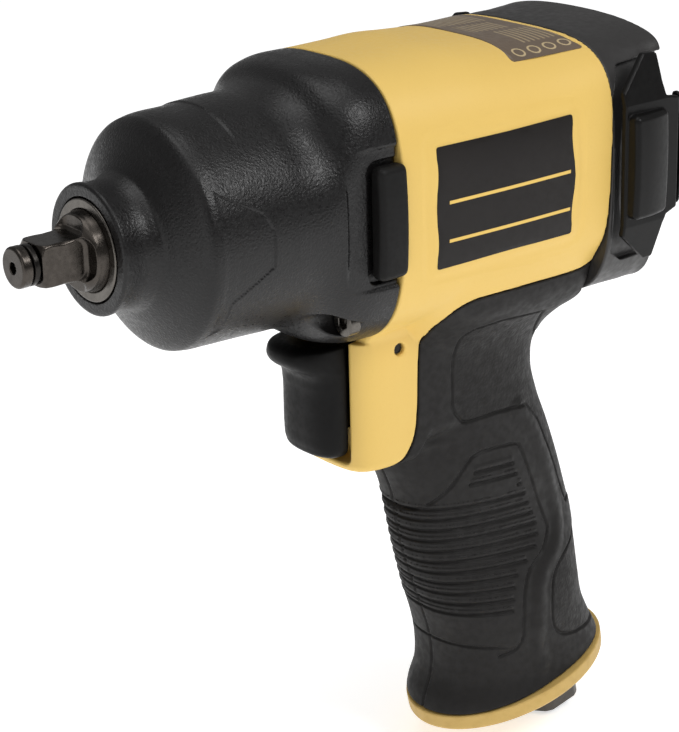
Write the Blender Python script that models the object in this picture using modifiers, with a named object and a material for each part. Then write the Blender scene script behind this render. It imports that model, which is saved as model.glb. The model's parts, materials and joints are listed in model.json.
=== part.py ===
"""Pneumatic pistol impact wrench with a 3/8 inch square drive.

Frame: origin at the centre of the anvil's front face, +X to the rear along the anvil,
+Z up, Y across. The tool is symmetric about Y = 0. Dimensions below are millimetres.
"""

import math

import bpy
from mathutils import Matrix, Vector

MM = 0.001
FIT = 0.3  # clearance left between neighbouring pieces

# Anvil and nose
DRIVE_FLAT = 9.525  # 3/8 inch square drive
TIP_R = 4.7
SHANK_R = 8.9
NOSE_X = 18.7
NOSE_R = 15.05
BUSHING_R = 11.65
SHOULDER_X = 35.0
SHOULDER_R = 26.5

# Seams between case, housing and rear cap
FRONT_SEAM = 84.4
REAR_SEAM = 144.8
REAR_FACE = 165.2
VISOR_FACE = 167.0  # the cap's top edge reaches further back than the rest of it
BODY_BORE = 24.2

# Handle
BASE_X = 141.9
BASE_Z = -141.5
BASE_SLOPE = 0.19
BASE_A = 30.3
BASE_B = 21.2
BASE_THICK = 4.7
INLET_X = 154.5
INLET_FOOT = -157.5
INLET_SLOPE = 0.2
VALVE_Z = -48.0
WEB_TOP = -35.3  # top of the sleeve under the rear cap

# Controls
DIAL_Z = 0.0
TRIGGER_TRAVEL = 5.5
TRIGGER_HALF = 10.2
TRIGGER_BACK = 82.4  # rear of the trigger's finger pad, which moves into a channel in the chin
TRIGGER_FOOT = -64.6

# x, half width, half height, centre height, squareness
CASE_SECTIONS = (
    (SHOULDER_X, 26.5, 26.5, 0.1, 2.0),
    (46.5, 27.4, 27.5, 0.4, 2.0),
    (61.5, 27.9, 28.0, 0.5, 2.02),
    (66.0, 28.2, 29.0, 0.4, 2.2),
    (71.0, 28.7, 31.9, 0.3, 2.6),
    (FRONT_SEAM - FIT, 29.3, 33.5, 0.0, 3.05),
)
BARREL_SECTIONS = (
    (FRONT_SEAM, 29.3, 33.5, 0.0, 3.05),
    (98.0, 30.8, 33.1, 0.4, 3.1),
    (114.0, 32.3, 32.0, 1.05, 3.15),
    (130.0, 33.4, 30.3, 1.6, 3.2),
    (REAR_SEAM - FIT, 34.0, 29.3, 2.2, 3.3),
)
CAP_SECTIONS = (
    (REAR_SEAM, 34.0, 32.75, -1.45, 3.3),
    (151.0, 33.4, 33.15, -1.35, 3.3),
    (160.0, 31.7, 33.3, -0.8, 3.9),
    (VISOR_FACE, 29.6, 33.1, -0.3, 6.5),
)
# z, front x, rear x, half width, squareness
GRIP_SECTIONS = (
    (-20.0, 92.0, 164.0, 29.0, 3.0),
    (-29.0, 92.0, 164.0, 27.5, 3.0),
    (-33.5, 92.0, 163.0, 24.4, 2.8),
    (-37.5, 92.5, 155.6, 20.6, 2.6),
    (-41.0, 93.0, 150.4, 18.4, 2.5),
    (-46.0, 94.0, 146.6, 17.0, 2.4),
    (-53.0, 95.0, 145.5, 16.4, 2.4),
    (-62.0, 97.0, 148.0, 16.2, 2.3),
    (-72.0, 99.5, 152.0, 16.3, 2.3),
    (-82.0, 103.4, 155.6, 16.4, 2.3),
    (-91.0, 105.0, 158.8, 15.3, 2.3),
    (-99.0, 106.8, 161.0, 15.6, 2.3),
    (-107.0, 109.4, 161.5, 17.3, 2.3),
    (-116.0, 112.4, 162.0, 18.8, 2.3),
    (-124.0, 115.0, 163.4, 19.0, 2.3),
    (-131.0, 116.2, 166.6, 18.4, 2.4),
    (-138.0, 115.6, 170.4, 18.8, 2.3),
    (-144.0, 113.4, 172.0, 20.4, 2.2),
    (-154.0, 111.6, 172.2, 21.2, 2.05),
)
# Edge of the yellow region where it meets the grip, drawn in side view
YELLOW_EDGE = (
    (160.0, -24.4),
    (106.5, -24.6),
    (102.6, -27.0),
    (100.2, -31.5),
    (99.2, -38.0),
    (98.8, -50.0),
    (98.4, -58.5),
    (97.0, -62.6),
    (93.6, -66.2),
    (88.0, -68.6),
    (72.0, -68.6),
)
# Side plates of the reversing dial: their outline in side view, and their bend seen from behind
DIAL_PLATE = (
    (146.3, -15.8),
    (146.0, 19.3),
    (154.6, 27.6),
    (159.0, 27.2),
    (159.6, 20.5),
    (160.6, 18.0),
    (165.0, 16.3),
    (165.0, -11.3),
    (161.4, -12.8),
    (160.2, -15.0),
    (158.2, -23.4),
    (155.4, -23.4),
)
DIAL_BEND = (
    (33.3, -30.0),
    (35.3, -13.5),
    (35.3, 16.5),
    (32.9, 32.0),
    (34.7, 32.0),
    (37.2, 16.5),
    (37.2, -13.5),
    (35.1, -30.0),
)
# One half of the bar behind the rear cap, seen from above, which hooks forward to a side plate
DIAL_BAR = (
    (170.4, 31.6),
    (168.6, 35.2),
    (165.0, 37.0),
    (160.8, 37.0),
    (160.8, 35.2),
    (164.4, 33.4),
    (166.2, 31.0),
)
# Yellow block behind and below the trigger, in the same form as the grip
CHIN_SECTIONS = (
    (-20.0, 81.4, 118.0, 16.2, 5.0),
    (-64.4, 81.4, 118.0, 16.2, 5.0),
    (-66.6, 82.2, 118.0, 15.4, 4.6),
    (-67.7, 84.0, 118.0, 13.4, 4.2),
    (-68.0, 87.5, 118.0, 12.6, 3.8),
    (-69.5, 94.0, 118.0, 12.8, 3.5),
    (-73.5, 101.5, 118.0, 13.0, 3.5),
)

PARTS = None
CUTTERS = None


def finish(name, colour, metallic, roughness):
    made = bpy.data.materials.new(name)
    made.use_nodes = True
    shader = made.node_tree.nodes["Principled BSDF"]
    shader.inputs["Base Color"].default_value = (*colour, 1.0)
    shader.inputs["Metallic"].default_value = metallic
    shader.inputs["Roughness"].default_value = roughness
    made.diffuse_color = (*colour, 1.0)
    made.metallic = metallic
    made.roughness = roughness
    return made


BLACK_PAINT = ("black_paint", (0.018, 0.018, 0.02), 0.0, 0.42)
YELLOW = ("yellow_nylon", (0.78, 0.52, 0.13), 0.0, 0.45)
BLACK_NYLON = ("black_nylon", (0.02, 0.02, 0.02), 0.0, 0.5)
RUBBER = ("black_rubber", (0.022, 0.021, 0.021), 0.0, 0.75)
DARK_STEEL = ("dark_steel", (0.12, 0.105, 0.095), 1.0, 0.35)
STEEL = ("bright_steel", (0.45, 0.45, 0.46), 1.0, 0.28)
BRASS = ("brass", (0.62, 0.45, 0.18), 1.0, 0.35)
LABEL = ("label_film", (0.03, 0.026, 0.024), 0.0, 0.4)
VANE = ("vane_composite", (0.25, 0.14, 0.07), 0.0, 0.6)
FELT = ("felt", (0.35, 0.33, 0.3), 0.0, 0.95)
SPRING = ("spring_steel", (0.35, 0.35, 0.36), 1.0, 0.3)


def place(name, mesh, look):
    """Adds an object. Without a look it is a cutter, which neither renders nor becomes a part."""
    obj = bpy.data.objects.new(name, mesh)
    if look is None:
        CUTTERS.objects.link(obj)
        obj.display_type = "WIRE"
        obj.hide_render = True
    else:
        PARTS.objects.link(obj)
        mesh.materials.append(finish(name + "_" + look[0], *look[1:]))
    return obj


def mesh_of(name, points, edges, faces):
    mesh = bpy.data.meshes.new(name)
    mesh.from_pydata([Vector(p) * MM for p in points], edges, faces)
    mesh.update()
    return mesh


def stand(obj, at, axis):
    """Puts the object's local Z along the axis, from a point in millimetres."""
    turn = Vector((0, 0, 1)).rotation_difference(Vector(axis).normalized())
    obj.matrix_world = Matrix.LocRotScale(Vector(at) * MM, turn, None)
    return obj


def turned(name, at, axis, profile, look=None, sides=32):
    """A turned piece. The profile holds (distance along the axis, radius) pairs."""
    area = 0.0
    for (h0, r0), (h1, r1) in zip(profile, profile[1:] + profile[:1]):
        area += r0 * h1 - r1 * h0
    ordered = list(profile) if area < 0 else list(reversed(profile))
    solid = min(r for _, r in ordered) <= 0
    if solid:
        while ordered[0][1] > 0 or ordered[-1][1] > 0:
            ordered = ordered[1:] + ordered[:1]
    edges = [(i, i + 1) for i in range(len(ordered) - 1)]
    if not solid:
        edges.append((len(ordered) - 1, 0))
    mesh = mesh_of(name, [(r, 0, h) for h, r in ordered], edges, [])
    obj = stand(place(name, mesh, look), at, axis)
    screw = obj.modifiers.new("turn", "SCREW")
    screw.axis = "Z"
    screw.steps = sides
    screw.render_steps = sides
    screw.use_merge_vertices = True
    screw.merge_threshold = 0.00001
    screw.use_smooth_shade = False
    return obj


def rod(name, at, axis, length, radius, look=None, sides=16, start=0.0):
    profile = [(start, 0), (start, radius), (start + length, radius), (start + length, 0)]
    return turned(name, at, axis, profile, look, sides)


def tube(name, at, axis, length, outer, inner, look, sides=32):
    profile = [(0, inner), (0, outer), (length, outer), (length, inner)]
    return turned(name, at, axis, profile, look, sides)


def block(name, low, high, look=None, bevel=0.0, segments=2):
    corners = [(x, y, z) for x in (low[0], high[0]) for y in (low[1], high[1]) for z in (low[2], high[2])]
    faces = [(0, 1, 3, 2), (4, 6, 7, 5), (0, 4, 5, 1), (2, 3, 7, 6), (0, 2, 6, 4), (1, 5, 7, 3)]
    obj = place(name, mesh_of(name, corners, [], faces), look)
    if bevel:
        round_edges(obj, bevel, segments)
    return obj


def round_edges(obj, width, segments=2):
    bevel = obj.modifiers.new("round", "BEVEL")
    bevel.width = width * MM
    bevel.segments = segments
    bevel.limit_method = "ANGLE"
    bevel.angle_limit = math.radians(30)
    return bevel


def prism(name, outline, low, high, plane="XZ", look=None):
    """A flat outline given thickness: an XZ outline runs along Y, an XY one along Z, a YZ one along X."""
    if plane == "XZ":
        points = [(u, low, v) for u, v in outline]
    elif plane == "XY":
        points = [(u, v, low) for u, v in outline]
    else:
        points = [(low, u, v) for u, v in outline]
    mesh = mesh_of(name, points, [], [tuple(range(len(points)))])
    normal = mesh.polygons[0].normal
    ahead = {"XZ": normal.y, "XY": normal.z, "YZ": normal.x}[plane]
    obj = place(name, mesh, look)
    thicken = obj.modifiers.new("thick", "SOLIDIFY")
    thicken.thickness = (high - low) * MM
    thicken.offset = 1.0 if ahead > 0 else -1.0
    return obj


def loft(name, rings, look=None):
    """A closed skin through rings of equal length, which run in order along the piece."""
    count = len(rings[0])
    points = [p for ring in rings for p in ring]
    faces = [tuple(range(count)), tuple(reversed(range(len(points) - count, len(points))))]
    for k in range(len(rings) - 1):
        for i in range(count):
            j = (i + 1) % count
            low, high = k * count, (k + 1) * count
            faces.append((low + i, high + i, high + j, low + j))
    volume = 0.0
    for face in faces:
        a = Vector(points[face[0]])
        for p, q in zip(face[1:], face[2:]):
            volume += a.dot(Vector(points[p]).cross(Vector(points[q])))
    if volume < 0:
        faces = [tuple(reversed(face)) for face in faces]
    return place(name, mesh_of(name, points, [], faces), look)


def oval(half_u, half_v, power, count):
    """Points round a superellipse."""
    points = []
    for i in range(count):
        t = 2 * math.pi * (i + 0.5) / count
        c, s = math.cos(t), math.sin(t)
        u = half_u * math.copysign(abs(c) ** (2 / power), c)
        v = half_v * math.copysign(abs(s) ** (2 / power), s)
        points.append((u, v))
    return points


def along_x(name, sections, grow=0.0, look=None, count=32, reach=(0.0, 0.0)):
    """A skin through cross sections along X, grown outwards, with each end moved by reach."""
    rings = []
    for k, (x, a, b, z, power) in enumerate(sections):
        if k == 0:
            x -= reach[0]
        if k == len(sections) - 1:
            x += reach[1]
        rings.append([(x, u, z + v) for u, v in oval(a + grow, b + grow, power, count)])
    return loft(name, rings, look)


def along_z(name, sections, grow=0.0, look=None, count=24):
    """A skin through sections along Z, each given by its height, front, rear, half width and squareness."""
    rings = []
    for z, front, rear, half, power in sections:
        middle, depth = (front + rear) / 2, (rear - front) / 2
        ring = oval(depth + grow, half + grow, power, count)
        rings.append([(middle + u, v, z) for u, v in ring])
    return loft(name, rings, look)


def combine(obj, *others, how="DIFFERENCE"):
    for other in others:
        step = obj.modifiers.new(how.lower(), "BOOLEAN")
        step.operation = how
        step.solver = "EXACT"
        step.object = other
    return obj


def join(obj, *others):
    return combine(obj, *others, how="UNION")


def keep(obj, *others):
    return combine(obj, *others, how="INTERSECT")


def spring(name, at, axis, length, radius, wire, turns, look):
    """A coil drawn as a poly curve with a round section."""
    curve = bpy.data.curves.new(name, "CURVE")
    curve.dimensions = "3D"
    curve.bevel_depth = wire * MM
    curve.bevel_resolution = 0
    curve.use_fill_caps = True
    steps = turns * 8
    line = curve.splines.new("POLY")
    line.points.add(steps)
    for i in range(steps + 1):
        t = 2 * math.pi * i / 8
        point = Vector((radius * math.cos(t), radius * math.sin(t), length * i / steps)) * MM
        line.points[i].co = (*point, 1.0)
    obj = bpy.data.objects.new(name, curve)
    PARTS.objects.link(obj)
    curve.materials.append(finish(name + "_" + look[0], *look[1:]))
    return stand(obj, at, axis)


def base_height(x, drop=0.0):
    return BASE_Z - drop + BASE_SLOPE * (x - BASE_X)


def inlet_point(z):
    """A point on the air inlet's axis, which leans with the handle."""
    return (INLET_X - INLET_SLOPE * (z + 150.0), 0.0, z)


INLET_AXIS = (-INLET_SLOPE, 0.0, 1.0)
EXHAUST_AXIS = (-0.138, 0.0, 1.0)
REAR_SCREWS = ((-22.5, 23.0), (22.5, 23.0), (-23.0, -20.5), (23.0, -20.5))
CASE_SCREWS = ((-20.5, -24.4), (20.5, -24.4))
DOWELS = ((-19.5, 24.0), (19.5, 24.0))


def build_anvil():
    """Square drive, shank and jaws, turning in the nose bushing."""
    shank = turned(
        "anvil",
        (0, 0, 0),
        (1, 0, 0),
        [
            (0, 0),
            (0, TIP_R - 0.7),
            (0.6, TIP_R),
            (2.5, TIP_R),
            (2.5, 3.7),
            (4.6, 3.7),
            (4.6, 4.2),
            (15.2, 4.2),
            (15.2, 7.6),
            (15.9, 8.5),
            (16.9, SHANK_R),
            (36.4, SHANK_R),
            (36.4, 12.4),
            (40.0, 12.4),
            (40.0, SHANK_R),
            (47.6, SHANK_R),
            (47.6, 8.2),
            (70.4, 8.2),
            (70.4, 0),
        ],
        DARK_STEEL,
        32,
    )
    half = DRIVE_FLAT / 2
    square = block("square_blank", (4.6, -half, -half), (15.8, half, half), None, 0.8, 2)
    jaws = []
    for name, low, high in (("jaw_front", 47.9, 58.2), ("jaw_rear", 59.4, 70.0)):
        jaws.append(block(name, (low, -2.6, 5.0), (high, 2.6, 10.4)))
        jaws.append(block(name + "_low", (low, -2.6, -10.4), (high, 2.6, -5.0)))
    join(shank, square, *jaws)
    tube("friction_ring", (2.9, 0, 0), (1, 0, 0), 1.4, 4.65, 4.05, SPRING, 20)
    turned(
        "nose_bushing",
        (NOSE_X - 0.2, 0, 0),
        (1, 0, 0),
        [(0, 10.1), (0, BUSHING_R), (16.8, BUSHING_R), (16.8, 9.25), (3.6, 9.25), (3.6, 10.1)],
        STEEL,
        32,
    )
    tube("nose_seal", (NOSE_X + 0.5, 0, 0), (1, 0, 0), 2.4, 9.8, 9.2, RUBBER, 32)


def build_case():
    """Hammer case with its nose, screw pockets, side pads and dowels."""
    case = along_x("hammer_case", CASE_SECTIONS, 0.0, BLACK_PAINT, 36)
    nose = turned(
        "nose_blank",
        (0, 0, 0),
        (1, 0, 0),
        [
            (NOSE_X, 0),
            (NOSE_X, NOSE_R - 0.8),
            (NOSE_X + 0.8, NOSE_R),
            (27.0, NOSE_R + 0.2),
            (28.3, NOSE_R + 0.85),
            (30.0, 18.8),
            (33.4, 25.2),
            (SHOULDER_X + 0.02, SHOULDER_R - 0.2),
            (37.0, SHOULDER_R - 0.6),
            (37.0, 0),
        ],
        None,
        36,
    )
    bore = turned(
        "case_bore",
        (0, 0, 0),
        (1, 0, 0),
        [
            (10, 0),
            (10, BUSHING_R + FIT),
            (35.8, BUSHING_R + FIT),
            (35.8, 13.2),
            (40.4, 15.5),
            (42.2, BODY_BORE),
            (95, BODY_BORE),
            (95, 0),
        ],
        None,
        32,
    )
    join(case, nose)
    combine(case, bore)
    for side, word in ((-1, "left"), (1, "right")):
        near, far = sorted((side * 27.0, side * 40.0))
        combine(case, block("pad_recess_" + word, (69.6, near, -15.6), (95, far, 16.9), None, 1.5, 2))
        low, high = sorted((side * 27.3, side * 31.2))
        pad = block("bumper_" + word, (73.6, low, -13.6), (83.8, high, 13.3), RUBBER, 1.6, 2)
        low, high = sorted((side * 29.8, side * 31.2))
        join(pad, block("bumper_lip_" + word, (79.0, low, -12.4), (85.4, high, 12.1), None, 0.6, 1))
    for (y, z), word in zip(CASE_SCREWS, ("left", "right")):
        pocket = rod("case_pocket_" + word, (56, y, z), (1, 0, 0), 18.3, 3.6)
        hole = rod("case_hole_" + word, (60, y, z), (1, 0, 0), 40, 2.2)
        combine(case, pocket, hole)
        socket_screw("case_screw_" + word, (71.2, y, z), (1, 0, 0), 3.0, 3.3, 1.9, 15.8)
    for (y, z), word in zip(DOWELS, ("left", "right")):
        combine(case, rod("case_dowel_hole_" + word, (78.4, y, z), (1, 0, 0), 20, 1.8, None, 12))
        rod("dowel_" + word, (78.8, y, z), (1, 0, 0), 10.8, 1.5, STEEL, 12)


def socket_screw(name, at, axis, head_length, head_radius, radius, length):
    """Cap screw with a hexagon socket, head first."""
    screw = turned(
        name,
        at,
        axis,
        [
            (0, 0),
            (0, head_radius - 0.3),
            (0.3, head_radius),
            (head_length, head_radius),
            (head_length, radius),
            (head_length + length, radius),
            (head_length + length, 0),
        ],
        STEEL,
        12,
    )
    combine(screw, rod(name + "_socket", at, axis, head_length * 0.6 + 2, 1.6, None, 6, -2.0))
    return screw


def build_mechanism():
    """Twin hammer mechanism: cage, two dogs and two pins round the anvil."""
    cage = turned(
        "hammer_cage",
        (0, 0, 0),
        (1, 0, 0),
        [(43.2, 9.3), (43.2, 23.4), (47.2, 23.4), (47.2, 9.3)],
        DARK_STEEL,
        32,
    )
    rear = turned(
        "cage_rear_blank",
        (0, 0, 0),
        (1, 0, 0),
        [(71.0, 6.6), (71.0, 23.4), (75.0, 23.4), (75.0, 11.0), (77.4, 11.0), (77.4, 6.6)],
        None,
        32,
    )
    bars = []
    for side, word in ((-1, "left"), (1, "right")):
        low, high = sorted((side * 20.9, side * 30.0))
        bar = block("cage_bar_" + word, (46.6, low, -7.5), (71.6, high, 7.5))
        bars.append(keep(bar, rod("bar_trim_" + word, (40, 0, 0), (1, 0, 0), 40, 23.0, None, 32)))
    join(cage, rear, *bars)
    for z, word in ((16.6, "upper"), (-16.6, "lower")):
        combine(cage, rod("cage_pin_hole_" + word, (42, 0, z), (1, 0, 0), 40, 2.7, None, 16))
        rod("hammer_pin_" + word, (43.6, 0, z), (1, 0, 0), 31.0, 2.4, STEEL, 16)
    for start, word in ((47.6, "front"), (59.2, "rear")):
        dog = tube("hammer_dog_" + word, (start, 0, 0), (1, 0, 0), 11.2, 20.4, 11.0, DARK_STEEL, 32)
        for z, place_word in ((16.6, "upper"), (-16.6, "lower")):
            name = "dog_hole_" + word + "_" + place_word
            combine(dog, rod(name, (40, 0, z), (1, 0, 0), 40, 2.8, None, 16))


def build_motor():
    """Air motor: end plates, bearings, eccentric cylinder, rotor and six vanes."""
    plate_r = BODY_BORE - FIT
    eccentric = 1.4
    tube("motor_front_plate", (79.6, 0, 0), (1, 0, 0), 6.4, plate_r, 11.6, STEEL, 32)
    tube("front_bearing", (79.8, 0, 0), (1, 0, 0), 6.0, 11.3, 6.3, SPRING, 32)
    cylinder = rod("motor_cylinder", (86.3, 0, 0), (1, 0, 0), 39.4, plate_r, STEEL, 32)
    combine(cylinder, rod("cylinder_bore", (80, 0, -eccentric), (1, 0, 0), 60, 18.8, None, 32))
    for x in (96.0, 106.0, 116.0):
        combine(cylinder, rod("exhaust_port_%d" % x, (x, 0, -30), (0, 0, 1), 16, 2.4, None, 12))
    tube("motor_rear_plate", (126.0, 0, 0), (1, 0, 0), 6.4, plate_r, 11.6, STEEL, 32)
    tube("rear_bearing", (126.2, 0, 0), (1, 0, 0), 6.0, 11.3, 6.3, SPRING, 32)
    rotor = turned(
        "rotor",
        (0, 0, 0),
        (1, 0, 0),
        [
            (71.4, 0),
            (71.4, 6.0),
            (86.7, 6.0),
            (86.7, 16.6),
            (125.3, 16.6),
            (125.3, 6.0),
            (132.2, 6.0),
            (132.2, 0),
        ],
        DARK_STEEL,
        36,
    )
    for i in range(6):
        turn = Matrix.Rotation(math.radians(60 * i + 30), 4, "X")
        slot = block("vane_slot_%d" % (i + 1), (80, -0.9, 8.4), (132, 0.9, 18.0))
        slot.matrix_world = turn
        combine(rotor, slot)
        vane = block("vane_%d" % (i + 1), (87.0, -0.6, 8.8), (125.0, 0.6, 17.0), VANE)
        vane.matrix_world = turn


def yellow_region(name, low_edge):
    """Side-view region of the housing that stays exposed, as a prism across the tool."""
    outline = [(x, z + low_edge) for x, z in YELLOW_EDGE] + [(60.0, -60.0), (60.0, 60.0), (160.0, 60.0)]
    return prism(name, outline, -60, 60)


def chin_solid(name, sections, grow):
    """The block behind the trigger, cut away above so that the hammer case clears it."""
    chin = along_z(name, sections, grow)
    return combine(chin, block(name + "_room", (60, -60, -34.0), (FRONT_SEAM + 0.6, 60, 60)))


def body_skin(name, look):
    """Barrel, grip and trigger chin as one outer solid, cut off at the base."""
    skin = along_x(name, BARREL_SECTIONS, 0.0, look, 32)
    chin = chin_solid(name + "_chin", CHIN_SECTIONS, 0.0)
    join(skin, along_z(name + "_grip", GRIP_SECTIONS), chin)
    return skin


def base_cutter(name, lift):
    corners = (
        (80.0, base_height(80.0) + lift),
        (200.0, base_height(200.0) + lift),
        (200.0, -230.0),
        (80.0, -230.0),
    )
    return prism(name, corners, -50, 50)


def rear_trim(name, x):
    """Everything behind the rear seam and above the web under the rear cap."""
    return prism(name, ((x, 60.0), (x, WEB_TOP), (190.0, WEB_TOP), (190.0, 60.0)), -60, 60)


def inner_core(name, grow, look=None):
    """What fills the housing inside the grip sleeve."""
    sections = [(x, a, b, z, p) for x, a, b, z, p in BARREL_SECTIONS]
    core = along_x(name, sections, -2.9 + grow, look, 32)
    join(core, along_z(name + "_grip", GRIP_SECTIONS, -2.9 + grow))
    join(core, chin_solid(name + "_chin", CHIN_SECTIONS[:-1], -2.9 + grow))
    return core


def plate_region(name, side, grow):
    """Side view outline of a nameplate."""
    low, high = sorted((side * 15.0, side * 50.0))
    outline = (
        (94.6 - grow, -14.1 - grow),
        (94.6 - grow, 14.9 + grow),
        (133.0 + grow, 16.4 + grow),
        (132.8 + grow, -12.7 - grow),
    )
    return prism(name, outline, low, high)


def rating_region(name, grow):
    outline = (
        (121.5 - grow, -24.5 - grow),
        (142.0 + grow, -25.5 - grow),
        (142.0 + grow, 25.5 + grow),
        (121.5 - grow, 24.5 + grow),
    )
    return prism(name, outline, 10.0, 60.0, "XY")


def build_housing():
    """Motor housing: exposed yellow body plus the core hidden inside the grip sleeve."""
    housing = body_skin("motor_housing", YELLOW)
    keep(housing, yellow_region("yellow_keep", 0.2))
    core = inner_core("housing_core", 0.0)
    join(housing, core)
    combine(housing, base_cutter("housing_base_cut", 0.0))
    combine(housing, rear_trim("housing_rear_cut", REAR_SEAM - FIT))
    cut_nameplates(housing)
    bore = turned(
        "housing_bore",
        (0, 0, 0),
        (1, 0, 0),
        [(70, 0), (70, BODY_BORE), (132.8, BODY_BORE), (132.8, 12.4), (160, 12.4), (160, 0)],
        None,
        32,
    )
    pocket = block("trigger_pocket", (60, -7.4, -58.2), (103.0, 7.4, -34.6))
    channel = block(
        "trigger_channel",
        (60, -TRIGGER_HALF - 0.5, TRIGGER_FOOT - 0.9),
        (TRIGGER_BACK + TRIGGER_TRAVEL + 0.5, TRIGGER_HALF + 0.5, -33.0),
        None,
        1.8,
        2,
    )
    valve = rod("valve_bore", (90, 0, VALVE_Z), (1, 0, 0), 42.5, 7.3, None, 24)
    inlet = turned(
        "inlet_bore",
        inlet_point(-175.0),
        INLET_AXIS,
        [(0, 0), (0, 8.9), (52.0, 8.9), (52.0, 4.5), (129.0, 4.5), (129.0, 0)],
        None,
        24,
    )
    exhaust = rod("exhaust_bore", (134.0, 0, -148.0), EXHAUST_AXIS, 84.0, 6.0, None, 20, -20.0)
    feed = rod("feed_bore", (137.0, 0, -50.0), (0, 0, 1), 46.0, 3.0, None, 12)
    combine(housing, bore, pocket, channel, valve, inlet, exhaust, feed)
    for side, word in ((-1, "left"), (1, "right")):
        combine(housing, rod("side_exhaust_" + word, (113, side * 10.6, -76), (0, 0, 1), 60, 2.2, None, 10))
    combine(housing, rod("pin_bore", (93.5, -30, -37.0), (0, 1, 0), 60, 1.55, None, 12))
    combine(housing, rod("base_screw_bore", (123.9, 0, -149.0), (-0.18, 0, 1), 20.0, 1.9, None, 12, -6.0))
    for k, (y, z) in enumerate(REAR_SCREWS):
        combine(housing, rod("rear_screw_bore_%d" % (k + 1), (138, y, z), (1, 0, 0), 20, 2.2, None, 12))
    for (y, z), word in zip(CASE_SCREWS, ("left", "right")):
        combine(housing, rod("front_screw_bore_" + word, (70, y, z), (1, 0, 0), 20.6, 2.2, None, 12))
    for (y, z), word in zip(DOWELS, ("left", "right")):
        combine(housing, rod("front_dowel_bore_" + word, (70, y, z), (1, 0, 0), 20.0, 1.8, None, 12))


def cut_nameplates(housing):
    """Shallow seats for the side plates and the top plate, and the plates themselves."""
    for side, word in ((-1, "left"), (1, "right")):
        seat = plate_region("seat_" + word, side, 0.3)
        combine(seat, along_x("seat_floor_" + word, BARREL_SECTIONS, -1.1, None, 32, (20, 20)))
        combine(housing, seat)
        plate = along_x("nameplate_" + word, BARREL_SECTIONS, 0.0, LABEL, 32)
        keep(plate, plate_region("plate_outline_" + word, side, 0.0))
        combine(plate, along_x("plate_back_" + word, BARREL_SECTIONS, -0.8, None, 32, (20, 20)))
    seat = rating_region("seat_top", 0.3)
    combine(seat, along_x("seat_floor_top", BARREL_SECTIONS, -1.0, None, 32, (20, 20)))
    combine(housing, seat)
    plate = along_x("rating_plate", BARREL_SECTIONS, 0.0, LABEL, 32)
    keep(plate, rating_region("rating_outline", 0.0))
    combine(plate, along_x("rating_back", BARREL_SECTIONS, -0.7, None, 32, (20, 20)))


def build_sleeve():
    """Rubber grip sleeve moulded round the housing core."""
    sleeve = body_skin("grip_sleeve", RUBBER)
    combine(sleeve, yellow_region("sleeve_front_cut", -0.2))
    combine(sleeve, inner_core("sleeve_core_cut", FIT))
    combine(sleeve, base_cutter("sleeve_base_cut", 0.0))
    combine(sleeve, rear_trim("sleeve_rear_cut", REAR_SEAM - FIT))


def build_base():
    """Exhaust deflector under the handle, inlet bushing, screen, muffler and screw."""
    down = Vector((BASE_SLOPE, 0, -1)).normalized()
    lean = Vector((1, 0, BASE_SLOPE)).normalized()
    top = Vector((BASE_X, 0, BASE_Z)) + down * FIT
    rings = []
    for drop, shrink in ((0.0, 0.0), (BASE_THICK - 1.2, 0.0), (BASE_THICK, 1.2)):
        ring = oval(BASE_A - shrink, BASE_B - shrink, 2.0, 36)
        rings.append([tuple(top + down * drop + lean * u + Vector((0, v, 0))) for u, v in ring])
    deflector = loft("exhaust_deflector", rings, YELLOW)
    combine(deflector, rod("deflector_inlet_hole", inlet_point(-165.0), INLET_AXIS, 40, 9.1, None, 24))
    for k, x in enumerate((130.0, 136.0)):
        for side in (-1, 1):
            name = "deflector_vent_%d_%d" % (k + 1, side + 2)
            combine(deflector, rod(name, (x, side * 4.0, -160), (0, 0, 1), 40, 2.0, None, 10))
    screw_hole = rod("deflector_screw_hole", (123.8, 0, -147.6), (-0.18, 0, 1), 30, 2.0, None, 12, -15.0)
    combine(deflector, screw_hole)
    start = inlet_point(INLET_FOOT)
    bushing = turned(
        "inlet_bushing",
        start,
        INLET_AXIS,
        [(0, 6.0), (0, 9.4), (0.8, 10.2), (9.2, 10.2), (9.2, 8.5), (32.5, 8.5), (32.5, 6.0)],
        DARK_STEEL,
        24,
    )
    keep(bushing, hexagon("bushing_hex", start, INLET_AXIS, 9.2, 9.3))
    tube("inlet_screen", inlet_point(-128.0), INLET_AXIS, 3.0, 5.6, 3.6, BRASS, 20)
    tube("muffler", (132.9, 0, -139.8), EXHAUST_AXIS, 22.0, 5.6, 2.4, FELT, 16)
    socket_screw("base_screw", (123.9, 0, -149.0), (-0.18, 0, 1), 2.4, 2.9, 1.6, 10.5)
    head_seat = rod("deflector_head_seat", (123.9, 0, -149.0), (-0.18, 0, 1), 13.7, 3.3, None, 16, -11.0)
    combine(deflector, head_seat)


def hexagon(name, at, axis, length, across):
    """Trims the first part of a bushing to six flats and leaves the rest of it whole."""
    radius = across / math.cos(math.radians(30))
    return turned(
        name,
        at,
        axis,
        [(-2, 0), (-2, radius), (length + 0.1, radius), (length + 0.1, 12), (80, 12), (80, 0)],
        None,
        6,
    )


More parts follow.
